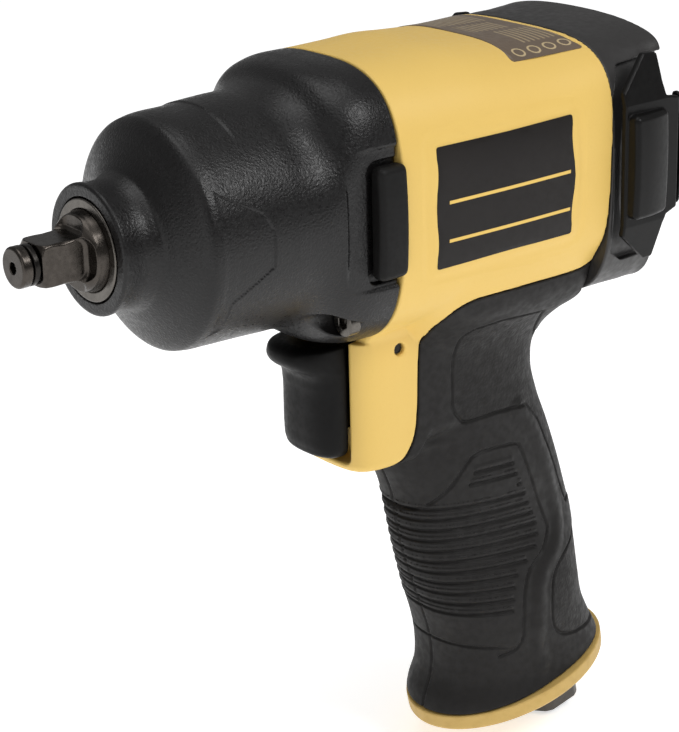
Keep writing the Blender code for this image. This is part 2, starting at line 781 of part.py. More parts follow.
def build_rear():
    """Rear cap with its screws, the reversing dial behind it and the valve on the dial's shaft."""
    cap = along_x("rear_cap", CAP_SECTIONS, 0.0, BLACK_NYLON, 32)
    combine(cap, block("cap_rear_trim", (REAR_FACE, -60, -60), (190, 60, 23.5)))
    for side, word in ((-1, "left"), (1, "right")):
        low, high = sorted((side * 30.6, side * 60.0))
        recess = prism(
            "cap_recess_" + word,
            ((145.8, -21.0), (145.8, 17.0), (155.0, 23.5), (190.0, 23.5), (190.0, -21.5)),
            low,
            high,
        )
        combine(cap, recess)
    hollow = along_x("cap_hollow", CAP_SECTIONS[:-1], -6.0, None, 32, (10, -0.8))
    posts = []
    for k, (y, z) in enumerate(REAR_SCREWS):
        posts.append(rod("cap_post_%d" % (k + 1), (120, y, z), (1, 0, 0), 50, 4.6, None, 16))
    posts.append(rod("cap_hub", (120, 0, DIAL_Z), (1, 0, 0), 50, 11.0, None, 24))
    combine(hollow, *posts)
    combine(cap, hollow)
    combine(cap, rod("dial_bore", (130, 0, DIAL_Z), (1, 0, 0), 60, 6.4, None, 24))
    combine(cap, rod("valve_clearance", (130, 0, 0), (1, 0, 0), 18.2, 12.6, None, 24))
    for k, (y, z) in enumerate(REAR_SCREWS):
        combine(cap, rod("cap_screw_hole_%d" % (k + 1), (140, y, z), (1, 0, 0), 40, 2.2, None, 12))
        combine(cap, rod("cap_head_seat_%d" % (k + 1), (162.2, y, z), (1, 0, 0), 20, 3.8, None, 16))
        socket_screw("rear_screw_%d" % (k + 1), (165.0, y, z), (-1, 0, 0), 2.4, 3.4, 1.9, 23.0)
    combine(cap, rod("detent_bore", (158.0, 0, DIAL_Z - 8.2), (1, 0, 0), 12, 1.5, None, 12))
    build_dial()


def build_dial():
    """Lever that wraps round the rear cap, with a plate and a thumb pad on each side."""
    dial = rod("reverse_dial", (148.1, 0, DIAL_Z), (1, 0, 0), 20.9, 6.0, BLACK_NYLON, 24)
    bar = DIAL_BAR + tuple((x, -y) for x, y in reversed(DIAL_BAR))
    join(dial, prism("dial_bar", bar, -11.5, 16.5, "XY"))
    for side, word in ((-1, "left"), (1, "right")):
        bent = [(side * y, z) for y, z in DIAL_BEND]
        plate = prism("dial_plate_" + word, bent, 140.0, 170.0, "YZ")
        low, high = sorted((side * 30.0, side * 40.0))
        keep(plate, prism("dial_outline_" + word, DIAL_PLATE, low, high))
        join(dial, plate)
        low, high = sorted((side * 37.0, side * 40.6))
        join(dial, block("dial_pad_" + word, (146.9, low, -11.4), (159.4, high, 14.2), None, 1.4, 2))
    combine(dial, rod("dimple", (164.0, 0, DIAL_Z - 8.2), (1, 0, 0), 2.6, 1.2, None, 12))
    valve = tube("reverse_valve", (133.2, 0, 0), (1, 0, 0), 14.6, 12.1, 9.0, BRASS, 28)
    wall = rod("valve_wall", (144.4, 0, 0), (1, 0, 0), 3.4, 12.1, None, 28)
    join(valve, wall)
    combine(valve, rod("valve_port", (137.0, 0, -20), (0, 0, 1), 14, 2.6, None, 12))
    spring("detent_spring", (158.4, 0, DIAL_Z - 8.2), (1, 0, 0), 4.6, 0.95, 0.2, 4, SPRING)
    bpy.ops.mesh.primitive_uv_sphere_add(segments=12, ring_count=8, radius=1.2 * MM)
    ball = bpy.context.object
    ball.name = "detent_ball"
    for owner in list(ball.users_collection):
        owner.objects.unlink(ball)
    PARTS.objects.link(ball)
    ball.location = Vector((164.9, 0, DIAL_Z - 8.2)) * MM
    ball.data.materials.append(finish("detent_ball_steel", *STEEL[1:]))


def build_trigger():
    """Trigger, its pin, and the throttle valve behind it."""
    outline = (
        (71.4, -35.0),
        (69.2, -36.8),
        (73.4, -41.2),
        (75.0, -45.0),
        (75.0, -56.0),
        (75.4, -61.2),
        (76.6, TRIGGER_FOOT),
        (79.6, -61.6),
        (TRIGGER_BACK, -58.0),
        (TRIGGER_BACK, -35.0),
    )
    trigger = prism("trigger", outline, -TRIGGER_HALF, TRIGGER_HALF, "XZ", RUBBER)
    round_edges(trigger, 2.6, 2)
    shank = block("trigger_shank", (78.0, -7.0, -57.6), (97.0, 7.0, -35.2))
    join(trigger, shank)
    combine(trigger, block("pin_slot", (93.5 - TRIGGER_TRAVEL - 1.75, -20, -38.9), (95.3, 20, -30)))
    combine(trigger, rod("stem_socket", (90.0, 0, VALVE_Z), (1, 0, 0), 20, 2.4, None, 12))
    rod("trigger_pin", (93.5, -15.2, -37.0), (0, 1, 0), 30.4, 1.25, STEEL, 12)
    tube("valve_bushing", (103.8, 0, VALVE_Z), (1, 0, 0), 12.0, 7.0, 2.5, BRASS, 24)
    turned(
        "throttle_valve",
        (0, 0, VALVE_Z),
        (1, 0, 0),
        [
            (90.5, 0),
            (90.5, 2.1),
            (116.2, 2.1),
            (116.2, 5.2),
            (119.0, 5.2),
            (119.0, 2.0),
            (121.0, 2.0),
            (121.0, 0),
        ],
        STEEL,
        20,
    )
    spring("throttle_spring", (119.8, 0, VALVE_Z), (1, 0, 0), 11.6, 3.9, 0.5, 5, SPRING)


def main():
    global PARTS, CUTTERS
    for obj in list(bpy.data.objects):
        bpy.data.objects.remove(obj)
    PARTS = bpy.data.collections.new("impact_wrench")
    CUTTERS = bpy.data.collections.new("cutters")
    CUTTERS.hide_render = True
    bpy.context.scene.collection.children.link(PARTS)
    bpy.context.scene.collection.children.link(CUTTERS)
    build_anvil()
    build_case()
    build_mechanism()
    build_motor()
    build_housing()
    build_sleeve()
    build_base()
    build_rear()
    build_trigger()


main()
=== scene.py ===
"""Looks of the pneumatic impact wrench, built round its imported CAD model.

Each visible piece is described by a field: a function of x, y and z in millimetres that is
negative inside the piece and grows like a distance outside it. A surface net turns the field
into a mesh, and its vertices are then moved exactly onto the zero level.
"""

import json
import math

import bpy
import numpy as np
from mathutils import Matrix, Vector
from mathutils.geometry import delaunay_2d_cdt

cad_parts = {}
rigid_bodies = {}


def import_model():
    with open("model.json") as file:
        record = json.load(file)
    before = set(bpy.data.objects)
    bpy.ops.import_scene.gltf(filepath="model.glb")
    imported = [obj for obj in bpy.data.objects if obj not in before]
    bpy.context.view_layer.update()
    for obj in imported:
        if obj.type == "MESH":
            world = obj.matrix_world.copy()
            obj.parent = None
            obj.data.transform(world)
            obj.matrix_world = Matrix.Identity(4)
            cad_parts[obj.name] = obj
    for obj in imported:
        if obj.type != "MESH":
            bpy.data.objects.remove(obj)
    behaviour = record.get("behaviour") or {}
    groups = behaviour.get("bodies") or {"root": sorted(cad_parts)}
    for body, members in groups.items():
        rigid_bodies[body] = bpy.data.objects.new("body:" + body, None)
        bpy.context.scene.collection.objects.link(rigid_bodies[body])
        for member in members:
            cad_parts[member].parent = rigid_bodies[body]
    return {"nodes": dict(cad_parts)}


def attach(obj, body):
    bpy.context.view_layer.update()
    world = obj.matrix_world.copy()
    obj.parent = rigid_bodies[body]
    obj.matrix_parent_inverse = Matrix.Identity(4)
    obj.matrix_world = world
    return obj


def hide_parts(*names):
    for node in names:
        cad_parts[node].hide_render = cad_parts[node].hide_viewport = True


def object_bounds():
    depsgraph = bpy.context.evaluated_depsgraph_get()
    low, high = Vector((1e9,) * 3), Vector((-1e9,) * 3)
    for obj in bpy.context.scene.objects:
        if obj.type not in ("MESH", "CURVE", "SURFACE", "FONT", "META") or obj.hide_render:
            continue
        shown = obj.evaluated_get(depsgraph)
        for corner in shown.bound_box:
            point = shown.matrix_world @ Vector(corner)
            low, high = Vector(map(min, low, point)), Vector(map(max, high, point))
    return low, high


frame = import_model()
CAD_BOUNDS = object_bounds()
MM = 0.001
GAP = 0.3  # clearance between neighbouring pieces

# ---------------------------------------------------------------- driving sizes, as in the CAD
DRIVE_FLAT = 9.525
TIP_R = 4.7
SHANK_R = 8.9
NOSE_X = 18.7
BUSHING_R = 11.65
BODY_BORE = 24.2
FRONT_SEAM = 84.4
REAR_SEAM = 144.8
REAR_FACE = 165.2
VISOR_FACE = 167.0  # the cap's top reaches further back than the rest of it
BASE_X = 141.9
BASE_Z = -141.5
BASE_SLOPE = 0.19
BASE_A = 30.3
BASE_B = 21.2
BASE_SCREW_X = 123.9
BASE_SCREW_Z = -149.0
BASE_SCREW_LEAN = 0.18
BASE_VENTS = (130.0, 136.0)
INLET_X = 154.5
INLET_SLOPE = 0.2
INLET_Z = -150.0  # height at which the inlet's axis passes INLET_X
INLET_FOOT = -157.5
VALVE_Z = -48.0
PIN_X = 93.5
PIN_Z = -37.0
CHIN_FRONT = 81.4
TRIGGER_BACK = 82.4
CHIN_HALF = 16.2
CHIN_FOOT = -67.9
WEB_TOP = -35.3  # top of the sleeve under the rear cap
TRIGGER_HALF = 10.2
TRIGGER_TRAVEL = 5.5
SLEEVE_WALL = 2.9
CORE_REACH = 40.0  # limit on how far the housing's core runs from the yellow region
FILM_LIFT = 0.03
FILM_THICK = 0.14
CASE_SCREW = (20.5, -24.4)
REAR_SCREWS = ((22.5, 23.0), (23.0, -20.5))

# x, half width, half height, centre height, squareness
CASE = (
    (18.0, 15.05, 15.05, 0.0, 2.0),
    (27.0, 15.25, 15.25, 0.0, 2.0),
    (28.3, 15.9, 15.9, 0.0, 2.0),
    (30.0, 18.8, 18.8, 0.0, 2.0),
    (33.4, 25.2, 25.2, 0.05, 2.0),
    (34.7, 26.4, 26.4, 0.1, 2.0),
    (36.2, 26.8, 26.8, 0.15, 2.0),
    (41.0, 27.1, 27.2, 0.3, 2.0),
    (48.5, 27.4, 27.5, 0.45, 2.0),
    (56.0, 27.7, 27.8, 0.5, 2.0),
    (61.5, 27.9, 28.0, 0.5, 2.02),
    (64.5, 28.1, 28.5, 0.5, 2.1),
    (67.5, 28.3, 29.5, 0.4, 2.3),
    (71.0, 28.7, 31.9, 0.3, 2.6),
    (76.0, 29.1, 33.2, 0.1, 2.9),
    (84.4, 29.3, 33.5, 0.0, 3.05),
)
BARREL = (
    (80.0, 28.9, 33.6, -0.1, 3.05),
    (84.4, 29.3, 33.5, 0.0, 3.05),
    (98.0, 30.8, 33.1, 0.4, 3.1),
    (106.0, 31.6, 32.9, 0.8, 3.1),
    (116.0, 32.5, 31.8, 1.1, 3.15),
    (130.0, 33.4, 30.3, 1.6, 3.3),
    (140.0, 33.9, 29.5, 2.05, 3.6),
    (147.5, 34.05, 29.0, 2.35, 3.9),
)
CAP = (
    (144.8, 34.0, 32.6, -1.4, 3.9),
    (151.0, 33.4, 33.05, -1.3, 3.8),
    (158.0, 32.2, 33.3, -1.0, 4.2),
    (163.0, 30.6, 33.3, -0.6, 5.0),
    (167.4, 29.7, 33.2, -0.3, 6.5),
)
# z, front x, rear x, half width, squareness, from the bottom up
GRIP = (
    (-154.0, 111.6, 172.2, 21.2, 2.05),
    (-144.0, 113.4, 172.0, 20.4, 2.2),
    (-138.0, 115.6, 170.4, 18.8, 2.3),
    (-131.0, 116.2, 166.6, 18.4, 2.4),
    (-124.0, 115.0, 163.4, 19.0, 2.3),
    (-116.0, 112.4, 162.0, 18.8, 2.3),
    (-107.0, 109.4, 161.5, 17.3, 2.3),
    (-99.0, 106.8, 161.0, 15.6, 2.3),
    (-91.0, 105.0, 158.8, 15.3, 2.3),
    (-82.0, 103.4, 155.6, 16.2, 2.3),
    (-72.0, 99.5, 152.0, 16.3, 2.3),
    (-62.0, 97.0, 148.0, 16.2, 2.3),
    (-53.0, 95.0, 145.5, 16.4, 2.4),
    (-46.0, 94.0, 146.6, 17.0, 2.4),
    (-41.0, 93.0, 150.4, 18.4, 2.5),
    (-37.5, 92.5, 155.6, 20.6, 2.6),
    (-33.5, 92.0, 163.0, 24.4, 2.8),
    (-29.0, 92.0, 164.0, 27.5, 3.0),
    (-20.0, 92.0, 164.0, 29.0, 3.0),
)


# ---------------------------------------------------------------- curves and fields
class Curve:
    """Smooth curve through rows of (t, value, value, ...), flat beyond its ends."""

    def __init__(self, rows):
        rows = np.array(rows, float)
        self.t, self.v = rows[:, 0], rows[:, 1:]
        h = np.diff(self.t)[:, None]
        rise = np.diff(self.v, axis=0) / h
        self.m = np.vstack([rise[:1], rise[-1:]]) if len(h) == 1 else np.vstack(
            [rise[:1], (h[1:] * rise[:-1] + h[:-1] * rise[1:]) / (h[1:] + h[:-1]), rise[-1:]]
        )

    def __call__(self, t):
        k = np.clip(np.searchsorted(self.t, t) - 1, 0, len(self.t) - 2)
        h = self.t[k + 1] - self.t[k]
        s = np.clip((t - self.t[k]) / h, 0.0, 1.0)
        h, s = h[..., None], s[..., None]
        made = (
            (1 + 2 * s) * (1 - s) ** 2 * self.v[k]
            + s * (1 - s) ** 2 * h * self.m[k]
            + s * s * (3 - 2 * s) * self.v[k + 1]
            - s * s * (1 - s) * h * self.m[k + 1]
        )
        return tuple(np.moveaxis(made.astype(np.float32), -1, 0))


CASE_CURVE = Curve(CASE)
BARREL_CURVE = Curve(BARREL)
CAP_CURVE = Curve(CAP)
GRIP_CURVE = Curve(GRIP)


def oval(u, v, a, b, n):
    """Distance to the superellipse |u/a|^n + |v/b|^n = 1."""
    p = np.maximum(np.abs(u) / a, 1e-4)
    q = np.maximum(np.abs(v) / b, 1e-4)
    pn = p ** (n - 1)
    qn = q ** (n - 1)
    g = (pn * p + qn * q) ** (1.0 / n)
    steep = g ** (1 - n) * np.sqrt((pn / a) ** 2 + (qn / b) ** 2)
    return (g - 1) / steep


def along_x(x, y, z, curve):
    a, b, middle, n = curve(x)
    ahead = curve(x + 0.2)[1]
    lean = np.sqrt(1 + ((ahead - b) / 0.2) ** 2)
    return oval(y, z - middle, a, b, n) / lean


def along_z(x, y, z, curve):
    front, rear, half, n = curve(z)
    return oval(x - (front + rear) / 2, y, (rear - front) / 2, half, n)


def both(a, b, r=0.0):
    """Where a and b meet, with an edge rounded to r."""
    if np.ndim(r) == 0 and r == 0:
        return np.maximum(a, b)
    return np.minimum(-r, np.maximum(a, b)) + np.hypot(np.maximum(a + r, 0), np.maximum(b + r, 0))


def either(a, b, r=0.0):
    return -both(-a, -b, r)


def less(a, b, r=0.0):
    return both(a, -b, r)


def box_field(x, y, z, low, high, r=0.0):
    """A block from corner to corner with edges rounded to r."""
    q = []
    for value, lo, hi in zip((x, y, z), low, high):
        q.append(np.abs(value - (lo + hi) / 2) - (hi - lo) / 2 + r)
    outside = np.sqrt(sum(np.maximum(k, 0) ** 2 for k in q))
    return outside + np.minimum(np.maximum(np.maximum(q[0], q[1]), q[2]), 0) - r


def bump(d, width):
    """1 on the line and 0 beyond the width, smooth between."""
    return np.clip(1 - (d / width) ** 2, 0, 1) ** 2


def step_up(t, width=1.0):
    s = np.clip(t / width + 0.5, 0, 1)
    return s * s * (3 - 2 * s)


def arcs(points, radius):
    """Closed outline with each corner replaced by an arc. A point may carry its own radius."""
    made = []
    count = len(points)
    for k, point in enumerate(points):
        here = np.array(point[:2], float)
        r = point[2] if len(point) > 2 else radius
        before = np.array(points[k - 1][:2], float) - here
        after = np.array(points[(k + 1) % count][:2], float) - here
        before_len, after_len = np.hypot(*before), np.hypot(*after)
        half = math.acos(np.clip(before @ after / before_len / after_len, -1, 1)) / 2
        if r <= 0 or half > 1.55:
            made.append(here)
            continue
        reach = min(r / math.tan(half), 0.48 * before_len, 0.48 * after_len)
        start, end = here + before / before_len * reach, here + after / after_len * reach
        for s in np.linspace(0, 1, 7):
            made.append((1 - s) ** 2 * start + 2 * s * (1 - s) * here + s * s * end)
    return np.array(made)


def smooth_path(points, closed=False, fine=10):
    """Points along a smooth curve through the given ones."""
    p = np.array(points, float)
    p = np.vstack([p[-1:], p, p[:2]]) if closed else np.vstack([2 * p[0] - p[1], p, 2 * p[-1] - p[-2]])
    made = []
    for k in range(1, len(p) - 2):
        for s in np.arange(fine) / fine:
            a, b, c, d = p[k - 1 : k + 3]
            square, cube = 2 * a - 5 * b + 4 * c - d, 3 * b - a - 3 * c + d
            made.append(0.5 * (2 * b + (c - a) * s + square * s**2 + cube * s**3))
    if not closed:
        made.append(p[-2])
    return np.array(made)


class Outline:
    """Distance to a flat line or region, kept on a fine sheet and read back smoothly."""

    CELL = 0.2
    MARGIN = 4.0

    def __init__(self, path, region=True):
        path = np.array(path, float)
        self.low = path.min(0) - self.MARGIN
        size = np.ceil((path.max(0) + self.MARGIN - self.low) / self.CELL).astype(int) + 1
        u = (self.low[0] + self.CELL * np.arange(size[0]))[:, None]
        v = (self.low[1] + self.CELL * np.arange(size[1]))[None, :]
        ends = zip(path, np.roll(path, -1, 0)) if region else zip(path[:-1], path[1:])
        near = np.full(size, 1e9)
        crossed = np.zeros(size, bool)
        for (au, av), (bu, bv) in ends:
            du, dv = bu - au, bv - av
            along = np.clip(((u - au) * du + (v - av) * dv) / max(du * du + dv * dv, 1e-12), 0, 1)
            near = np.minimum(near, (u - au - along * du) ** 2 + (v - av - along * dv) ** 2)
            if region and dv != 0:
                crossed ^= ((av > v) != (bv > v)) & (u < au + (v - av) * du / dv)
        near = np.sqrt(near)
        self.sheet = np.where(crossed, -near, near).astype(np.float32)

    def __call__(self, u, v):
        s = np.clip((u - self.low[0]) / self.CELL, 0, self.sheet.shape[0] - 1.001)
        t = np.clip((v - self.low[1]) / self.CELL, 0, self.sheet.shape[1] - 1.001)
        i, j = s.astype(int), t.astype(int)
        s, t = (s - i).astype(np.float32), (t - j).astype(np.float32)
        g = self.sheet
        near = g[i, j] * (1 - s) + g[i + 1, j] * s
        far = g[i, j + 1] * (1 - s) + g[i + 1, j + 1] * s
        return near * (1 - t) + far * t


# ---------------------------------------------------------------- from a field to a mesh
def sample(field, axes):
    """The field on a grid, a few planes at a time."""
    x, y, z = (axis.astype(np.float32) for axis in axes)
    values = np.empty((len(x), len(y), len(z)), np.float32)
    for k in range(0, len(x), 24):
        part = field(x[k : k + 24, None, None], y[None, :, None], z[None, None, :])
        values[k : k + 24] = part
    return values


def surface_net(values, axes, step):
    """One vertex in each cell that the surface crosses and a quad across each crossed edge."""
    inside = values < 0
    shape = np.array(values.shape)
    stride = np.array([shape[1] * shape[2], shape[2], 1])
    cells, spots, quads = [], [], []
    for axis in range(3):
        low = [slice(None)] * 3
        high = [slice(None)] * 3
        low[axis], high[axis] = slice(None, -1), slice(1, None)
        cross = np.argwhere(inside[tuple(low)] != inside[tuple(high)])
        other = [(axis + 1) % 3, (axis + 2) % 3]
        start = values[tuple(cross.T)]
        far = cross.copy()
        far[:, axis] += 1
        share = start / (start - values[tuple(far.T)])
        spot = cross.astype(float)
        spot[:, axis] += share
        ring = []
        for a, b in ((0, 0), (-1, 0), (-1, -1), (0, -1)):
            cell = cross.copy()
            cell[:, other[0]] += a
            cell[:, other[1]] += b
            ring.append(cell @ stride)
            cells.append(ring[-1])
            spots.append(spot)
        ring = np.stack(ring, 1)
        ring[start >= 0] = ring[start >= 0][:, ::-1]
        quads.append(ring)
    cells, spots = np.concatenate(cells), np.concatenate(spots)
    used, where = np.unique(cells, return_inverse=True)
    where = where.reshape(-1)
    weight = np.bincount(where)
    points = np.stack([np.bincount(where, spots[:, k]) / weight for k in range(3)], 1)
    points = points * step + np.array([axis[0] for axis in axes])
    quads = np.searchsorted(used, np.concatenate(quads))
    return points, quads


def slope_of(field, p, h=0.06):
    made = np.empty_like(p)
    for k in range(3):
        ahead, behind = p.copy(), p.copy()
        ahead[:, k] += h
        behind[:, k] -= h
        made[:, k] = (field(*ahead.T) - field(*behind.T)) / (2 * h)
    return made


def relax(points, quads, share=0.5):
    """Evens out the spacing: each vertex moves towards the mean of its quads' corners."""
    middle = points[quads].mean(1)
    weight = np.bincount(quads.ravel(), minlength=len(points))
    mean = np.stack(
        [np.bincount(quads.ravel(), np.repeat(middle[:, k], 4), len(points)) / weight for k in range(3)], 1
    )
    return points + share * (mean - points)


def build(name, field, low, high, step, material, mirrored=True):
    """Meshes the field in the box low..high and returns the object."""
    axes = []
    for k in range(3):
        if k == 1 and mirrored:
            axes.append(step * (np.arange(int(high[1] / step) + 2) + 0.5))
        else:
            axes.append(low[k] + step * np.arange(int((high[k] - low[k]) / step) + 2))
    values = sample(field, axes)
    if mirrored:
        values = np.concatenate([values[:, ::-1], values], axis=1)
        axes[1] = np.concatenate([-axes[1][::-1], axes[1]])
    points, quads = surface_net(values, axes, step)
    points = relax(points, quads)
    for _ in range(3):
        slope = slope_of(field, points)
        size = np.maximum((slope**2).sum(1), 0.05)
        move = -field(*points.T)[:, None] * slope / size[:, None]
        far = np.maximum(np.sqrt((move**2).sum(1)) / (0.6 * step), 1)[:, None]
        points = points + move / far
    normals = slope_of(field, points, 0.1)
    normals /= np.maximum(np.sqrt((normals**2).sum(1)), 1e-6)[:, None]
    mesh = bpy.data.meshes.new(name)
    mesh.vertices.add(len(points))
    mesh.vertices.foreach_set("co", (points * MM).astype(np.float32).ravel())
    mesh.loops.add(quads.size)
    mesh.loops.foreach_set("vertex_index", quads.astype(np.int32).ravel())
    mesh.polygons.add(len(quads))
    mesh.polygons.foreach_set("loop_start", np.arange(0, quads.size, 4, dtype=np.int32))
    mesh.polygons.foreach_set("loop_total", np.full(len(quads), 4, np.int32))
    mesh.update(calc_edges=True)
    mesh.validate()
    mesh.shade_smooth()
    mesh.normals_split_custom_set_from_vertices(normals)
    mesh.materials.append(material)
    print(name, len(quads), "faces")
    return add_object(name, mesh)


def add_object(name, data):
    obj = bpy.data.objects.new(name, data)
    bpy.context.scene.collection.objects.link(obj)
    return obj


def place(obj, body, slot, *nodes):
    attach(obj, body)
    if nodes:
        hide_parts(*nodes)
    return obj


# ---------------------------------------------------------------- anvil and nose
def turned_x(x, y, z, curve):
    """Distance to a turned shape whose radius follows x."""
    radius = curve(x)[0]
    lean = np.sqrt(1 + ((curve(x + 0.1)[0] - radius) / 0.1) ** 2)
    return (np.hypot(y, z) - radius) / lean


def ring_field(x, y, z, x0, x1, inner, outer, r=0.2):
    radial = np.hypot(y, z)
    return both(both(radial - outer, inner - radial, r), np.abs(x - (x0 + x1) / 2) - (x1 - x0) / 2, r)


DRIVE_CURVE = Curve(
    (
        (4.4, 5.1), (5.5, 6.3), (6.0, 6.4), (11.2, 6.4), (13.4, 6.8),
        (14.6, 7.7), (15.8, 8.6), (17.0, SHANK_R), (60, SHANK_R),
    )
)


def anvil_field(x, y, z):
    radial = np.hypot(y, z)
    tip = both(radial - TIP_R, np.abs(x - 1.25) - 1.25, 0.3)
    tip = both(tip, (radial - TIP_R + 0.45 - x) * 0.7071, 0.15)
    tip = less(tip, both(radial - 1.35, x - 1.5, 0.2), 0.15)
    neck = both(radial - 3.7, np.abs(x - 4.5) - 3.0)
    drive = both(turned_x(x, y, z, DRIVE_CURVE), np.abs(x - 26.1) - 21.5, 0.15)
    for across, along in ((y, z), (z, y)):
        milled = both(x - 15.8, np.abs(along) - 5.5, 3.0)
        drive = both(drive, either(np.abs(across) - DRIVE_FLAT / 2, -milled, 1.1), 0.12)
    collar = both(radial - 12.4, np.abs(x - 38.2) - 1.8, 0.4)
    tail = both(radial - 8.2, np.abs(x - 55.0) - 15.4, 0.6)
    jaws = box_field(x, y, np.abs(z), (47.9, -2.6, 5.0), (58.2, 2.6, 10.4), 0.5)
    jaws = np.minimum(jaws, box_field(x, y, np.abs(z), (59.4, -2.6, 5.0), (70.0, 2.6, 10.4), 0.5))
    whole = np.minimum(np.minimum(tip, neck), np.minimum(drive, collar))
    return np.minimum(whole, either(tail, jaws, 0.5))


def friction_ring_field(x, y, z):
    return ring_field(x, y, z, 2.9, 4.3, 4.05, 4.65, 0.28)


def nose_bushing_field(x, y, z):
    radial = np.hypot(y, z)
    outer = both(radial - BUSHING_R, np.abs(x - 26.85) - 8.4, 0.35)
    bore = both(radial - 9.25, np.abs(x - 26) - 30)
    return less(outer, bore, 0.45)


# ---------------------------------------------------------------- hammer case and side pads
PAD_RECESS = Outline(arcs([(69.6, -15.6, 2.5), (69.6, 16.9, 4.0), (96, 16.9, 0), (96, -15.6, 0)], 2.5))
PAD_CHANNEL = Outline(arcs([(75.7, -14.3, 2.0), (75.7, 14.2, 3.0), (96, 14.2, 0), (96, -14.3, 0)], 2.5))
PAD_FACE = Outline(arcs([(76.7, -13.4), (76.7, 13.1), (85.2, 13.1), (85.4, -13.4)], 2.0))
CASE_STEP = Outline(
    [(20, 26), (39.0, 12.8), (47.6, 8.2), (49.7, 4.2), (49.7, -4.2), (39.6, -11.0), (39.2, -18.0), (20, -30)]
)


def case_shell(x, y, z):
    """Outer skin of the hammer case without its pockets."""
    skin = along_x(x, y, z, CASE_CURVE)
    up = z / np.maximum(np.hypot(y, z), 1e-3)
    skin = skin + 0.3 * step_up(48.1 - x, 0.6) * step_up(x - 42.0, 6.0) * step_up(up - 0.86, 0.18)
    skin = skin + 0.26 * step_up(-CASE_STEP(x, z), 0.45) * step_up(np.abs(y) - 14, 3) * step_up(x - 37, 2)
    lobe = ((x - 76.5) / 9.0) ** 2 + ((np.abs(y) - 21.5) / 7.0) ** 2 + ((z - 25.0) / 7.0) ** 2
    valley = ((x - 66.0) / 5.5) ** 2 + ((np.abs(y) - 22.5) / 5.5) ** 2 + ((z - 20.0) / 7.0) ** 2
    skin = skin - 0.8 * np.exp(-lobe) + 0.9 * np.exp(-valley)
    seam = x - FRONT_SEAM + GAP - 0.22 * step_up(-skin - 1.6, 0.6)
    return both(both(skin, NOSE_X - x, 0.9), seam, 0.5)


def case_field(x, y, z):
    radial = np.hypot(y, z)
    skin = case_shell(x, y, z)
    side = np.abs(y)
    skin = less(skin, both(PAD_RECESS(x, z), 27.5 - side, 0.6), 0.9)
    skin = less(skin, both(PAD_CHANNEL(x, z), 26.3 - side, 0.3), 0.5)
    screw = np.hypot(side - CASE_SCREW[0], z - CASE_SCREW[1])
    skin = less(skin, both(screw - 3.6, x - 75.6), 0.5)
    skin = less(skin, screw - 2.2)
    bore = np.minimum(radial - BUSHING_R - 0.25, both(radial - 14.0, 35.8 - x))
    bore = np.minimum(bore, both(radial - BODY_BORE, 41.6 - x, 1.5))
    return less(skin, bore, 0.35)


def pad_field(x, y, z):
    side = np.abs(y)
    crown = 31.2 - 0.0036 * z**2 - 0.012 * (x - 79.5) ** 2
    body = both(both(PAD_FACE(x, z), 27.3 - side, 0.3), side - crown, 1.5)
    return both(body, x - 85.3, 0.4)


# ---------------------------------------------------------------- housing and sleeve
YELLOW_EDGE = smooth_path(
    [
        (133.0, -24.5), (120.0, -24.5), (111.0, -24.7), (106.5, -25.4), (103.0, -27.5),
        (100.7, -31.5), (99.8, -37.0), (99.3, -45.0), (99.0, -53.0), (98.4, -58.5), (97.0, -62.4),
        (94.2, -65.7), (90.0, -67.5), (84.0, -68.6), (78.0, -68.6),
    ]
)


def rear_seam(z):
    """Front of the rear cap, which leans back toward the top."""
    return REAR_SEAM + 1.1 + 0.035 * np.clip(z, -25, 35)


REAR_CORNER = [(146.5, -18.0), (146.2, -20.5), (144.6, -23.0), (141.5, -24.2), (137.0, -24.5)]
YELLOW_FRAME = [(60, -68.6), (60, 60), (160, 60), (160, -18), (150, -18)]
YELLOW_SIDE = Outline(np.vstack([smooth_path(REAR_CORNER), YELLOW_EDGE, YELLOW_FRAME]))
PLATE_PATH = arcs(
    [(93.9, -14.1), (93.4, 0.4), (93.9, 14.9), (114.0, 15.5), (133.2, 16.4), (133.7, 1.8), (133.2, -12.7)], 0.7
)
PLATE_EDGE = Outline(PLATE_PATH)
RATING_PATH = arcs([(123.2, -23.2), (144.8, -24.3), (144.8, 24.3), (123.2, 23.2)], 0.8)


def base_drop(x, z):
    """Distance above the sloping plane under the handle."""
    return (z - BASE_Z - BASE_SLOPE * (x - BASE_X)) / math.hypot(1, BASE_SLOPE)


def handle_skin(x, y, z):
    """Outer skin shared by the housing and its sleeve, so that they are flush."""
    barrel = along_x(x, y, z, BARREL_CURVE)
    barrel = both(both(barrel, FRONT_SEAM - x, 0.6), x - rear_seam(z) + GAP, 0.5)
    grip = both(along_z(x, y, z, GRIP_CURVE), z + 20)
    chin = oval(x - (CHIN_FRONT + 118.0) / 2, y, (118.0 - CHIN_FRONT) / 2, CHIN_HALF, 5.0)
    foot = CHIN_FOOT + 0.004 * y**2 + 0.8 * np.maximum(np.abs(y) - 9.5, 0) * step_up(x - 101.0, 6.0)
    chin = both(both(chin, foot - z, 2.0), z + 20)
    chin = less(chin, np.maximum(x - FRONT_SEAM - 0.6, -34.0 - z), 0.6)
    skin = either(grip, chin, 0.5 + 4.0 * step_up(-65.0 - z, 3.0))
    skin = either(barrel, skin, 3.0)
    rear_cut = np.maximum(rear_seam(z) - GAP - x, WEB_TOP - z)
    skin = less(skin, rear_cut, 0.4)
    return less(skin, np.maximum(x - FRONT_SEAM, -34.0 - z), 0.5)


def inlet_radius(x, y, z):
    lean = math.hypot(1, INLET_SLOPE)
    return np.hypot((x - INLET_X + INLET_SLOPE * (z - INLET_Z)) / lean, y)


def base_screw_radius(x, y, z):
    """Distance from the leaning axis of the screw under the handle."""
    return np.hypot(x - BASE_SCREW_X + BASE_SCREW_LEAN * (z - BASE_SCREW_Z), y)


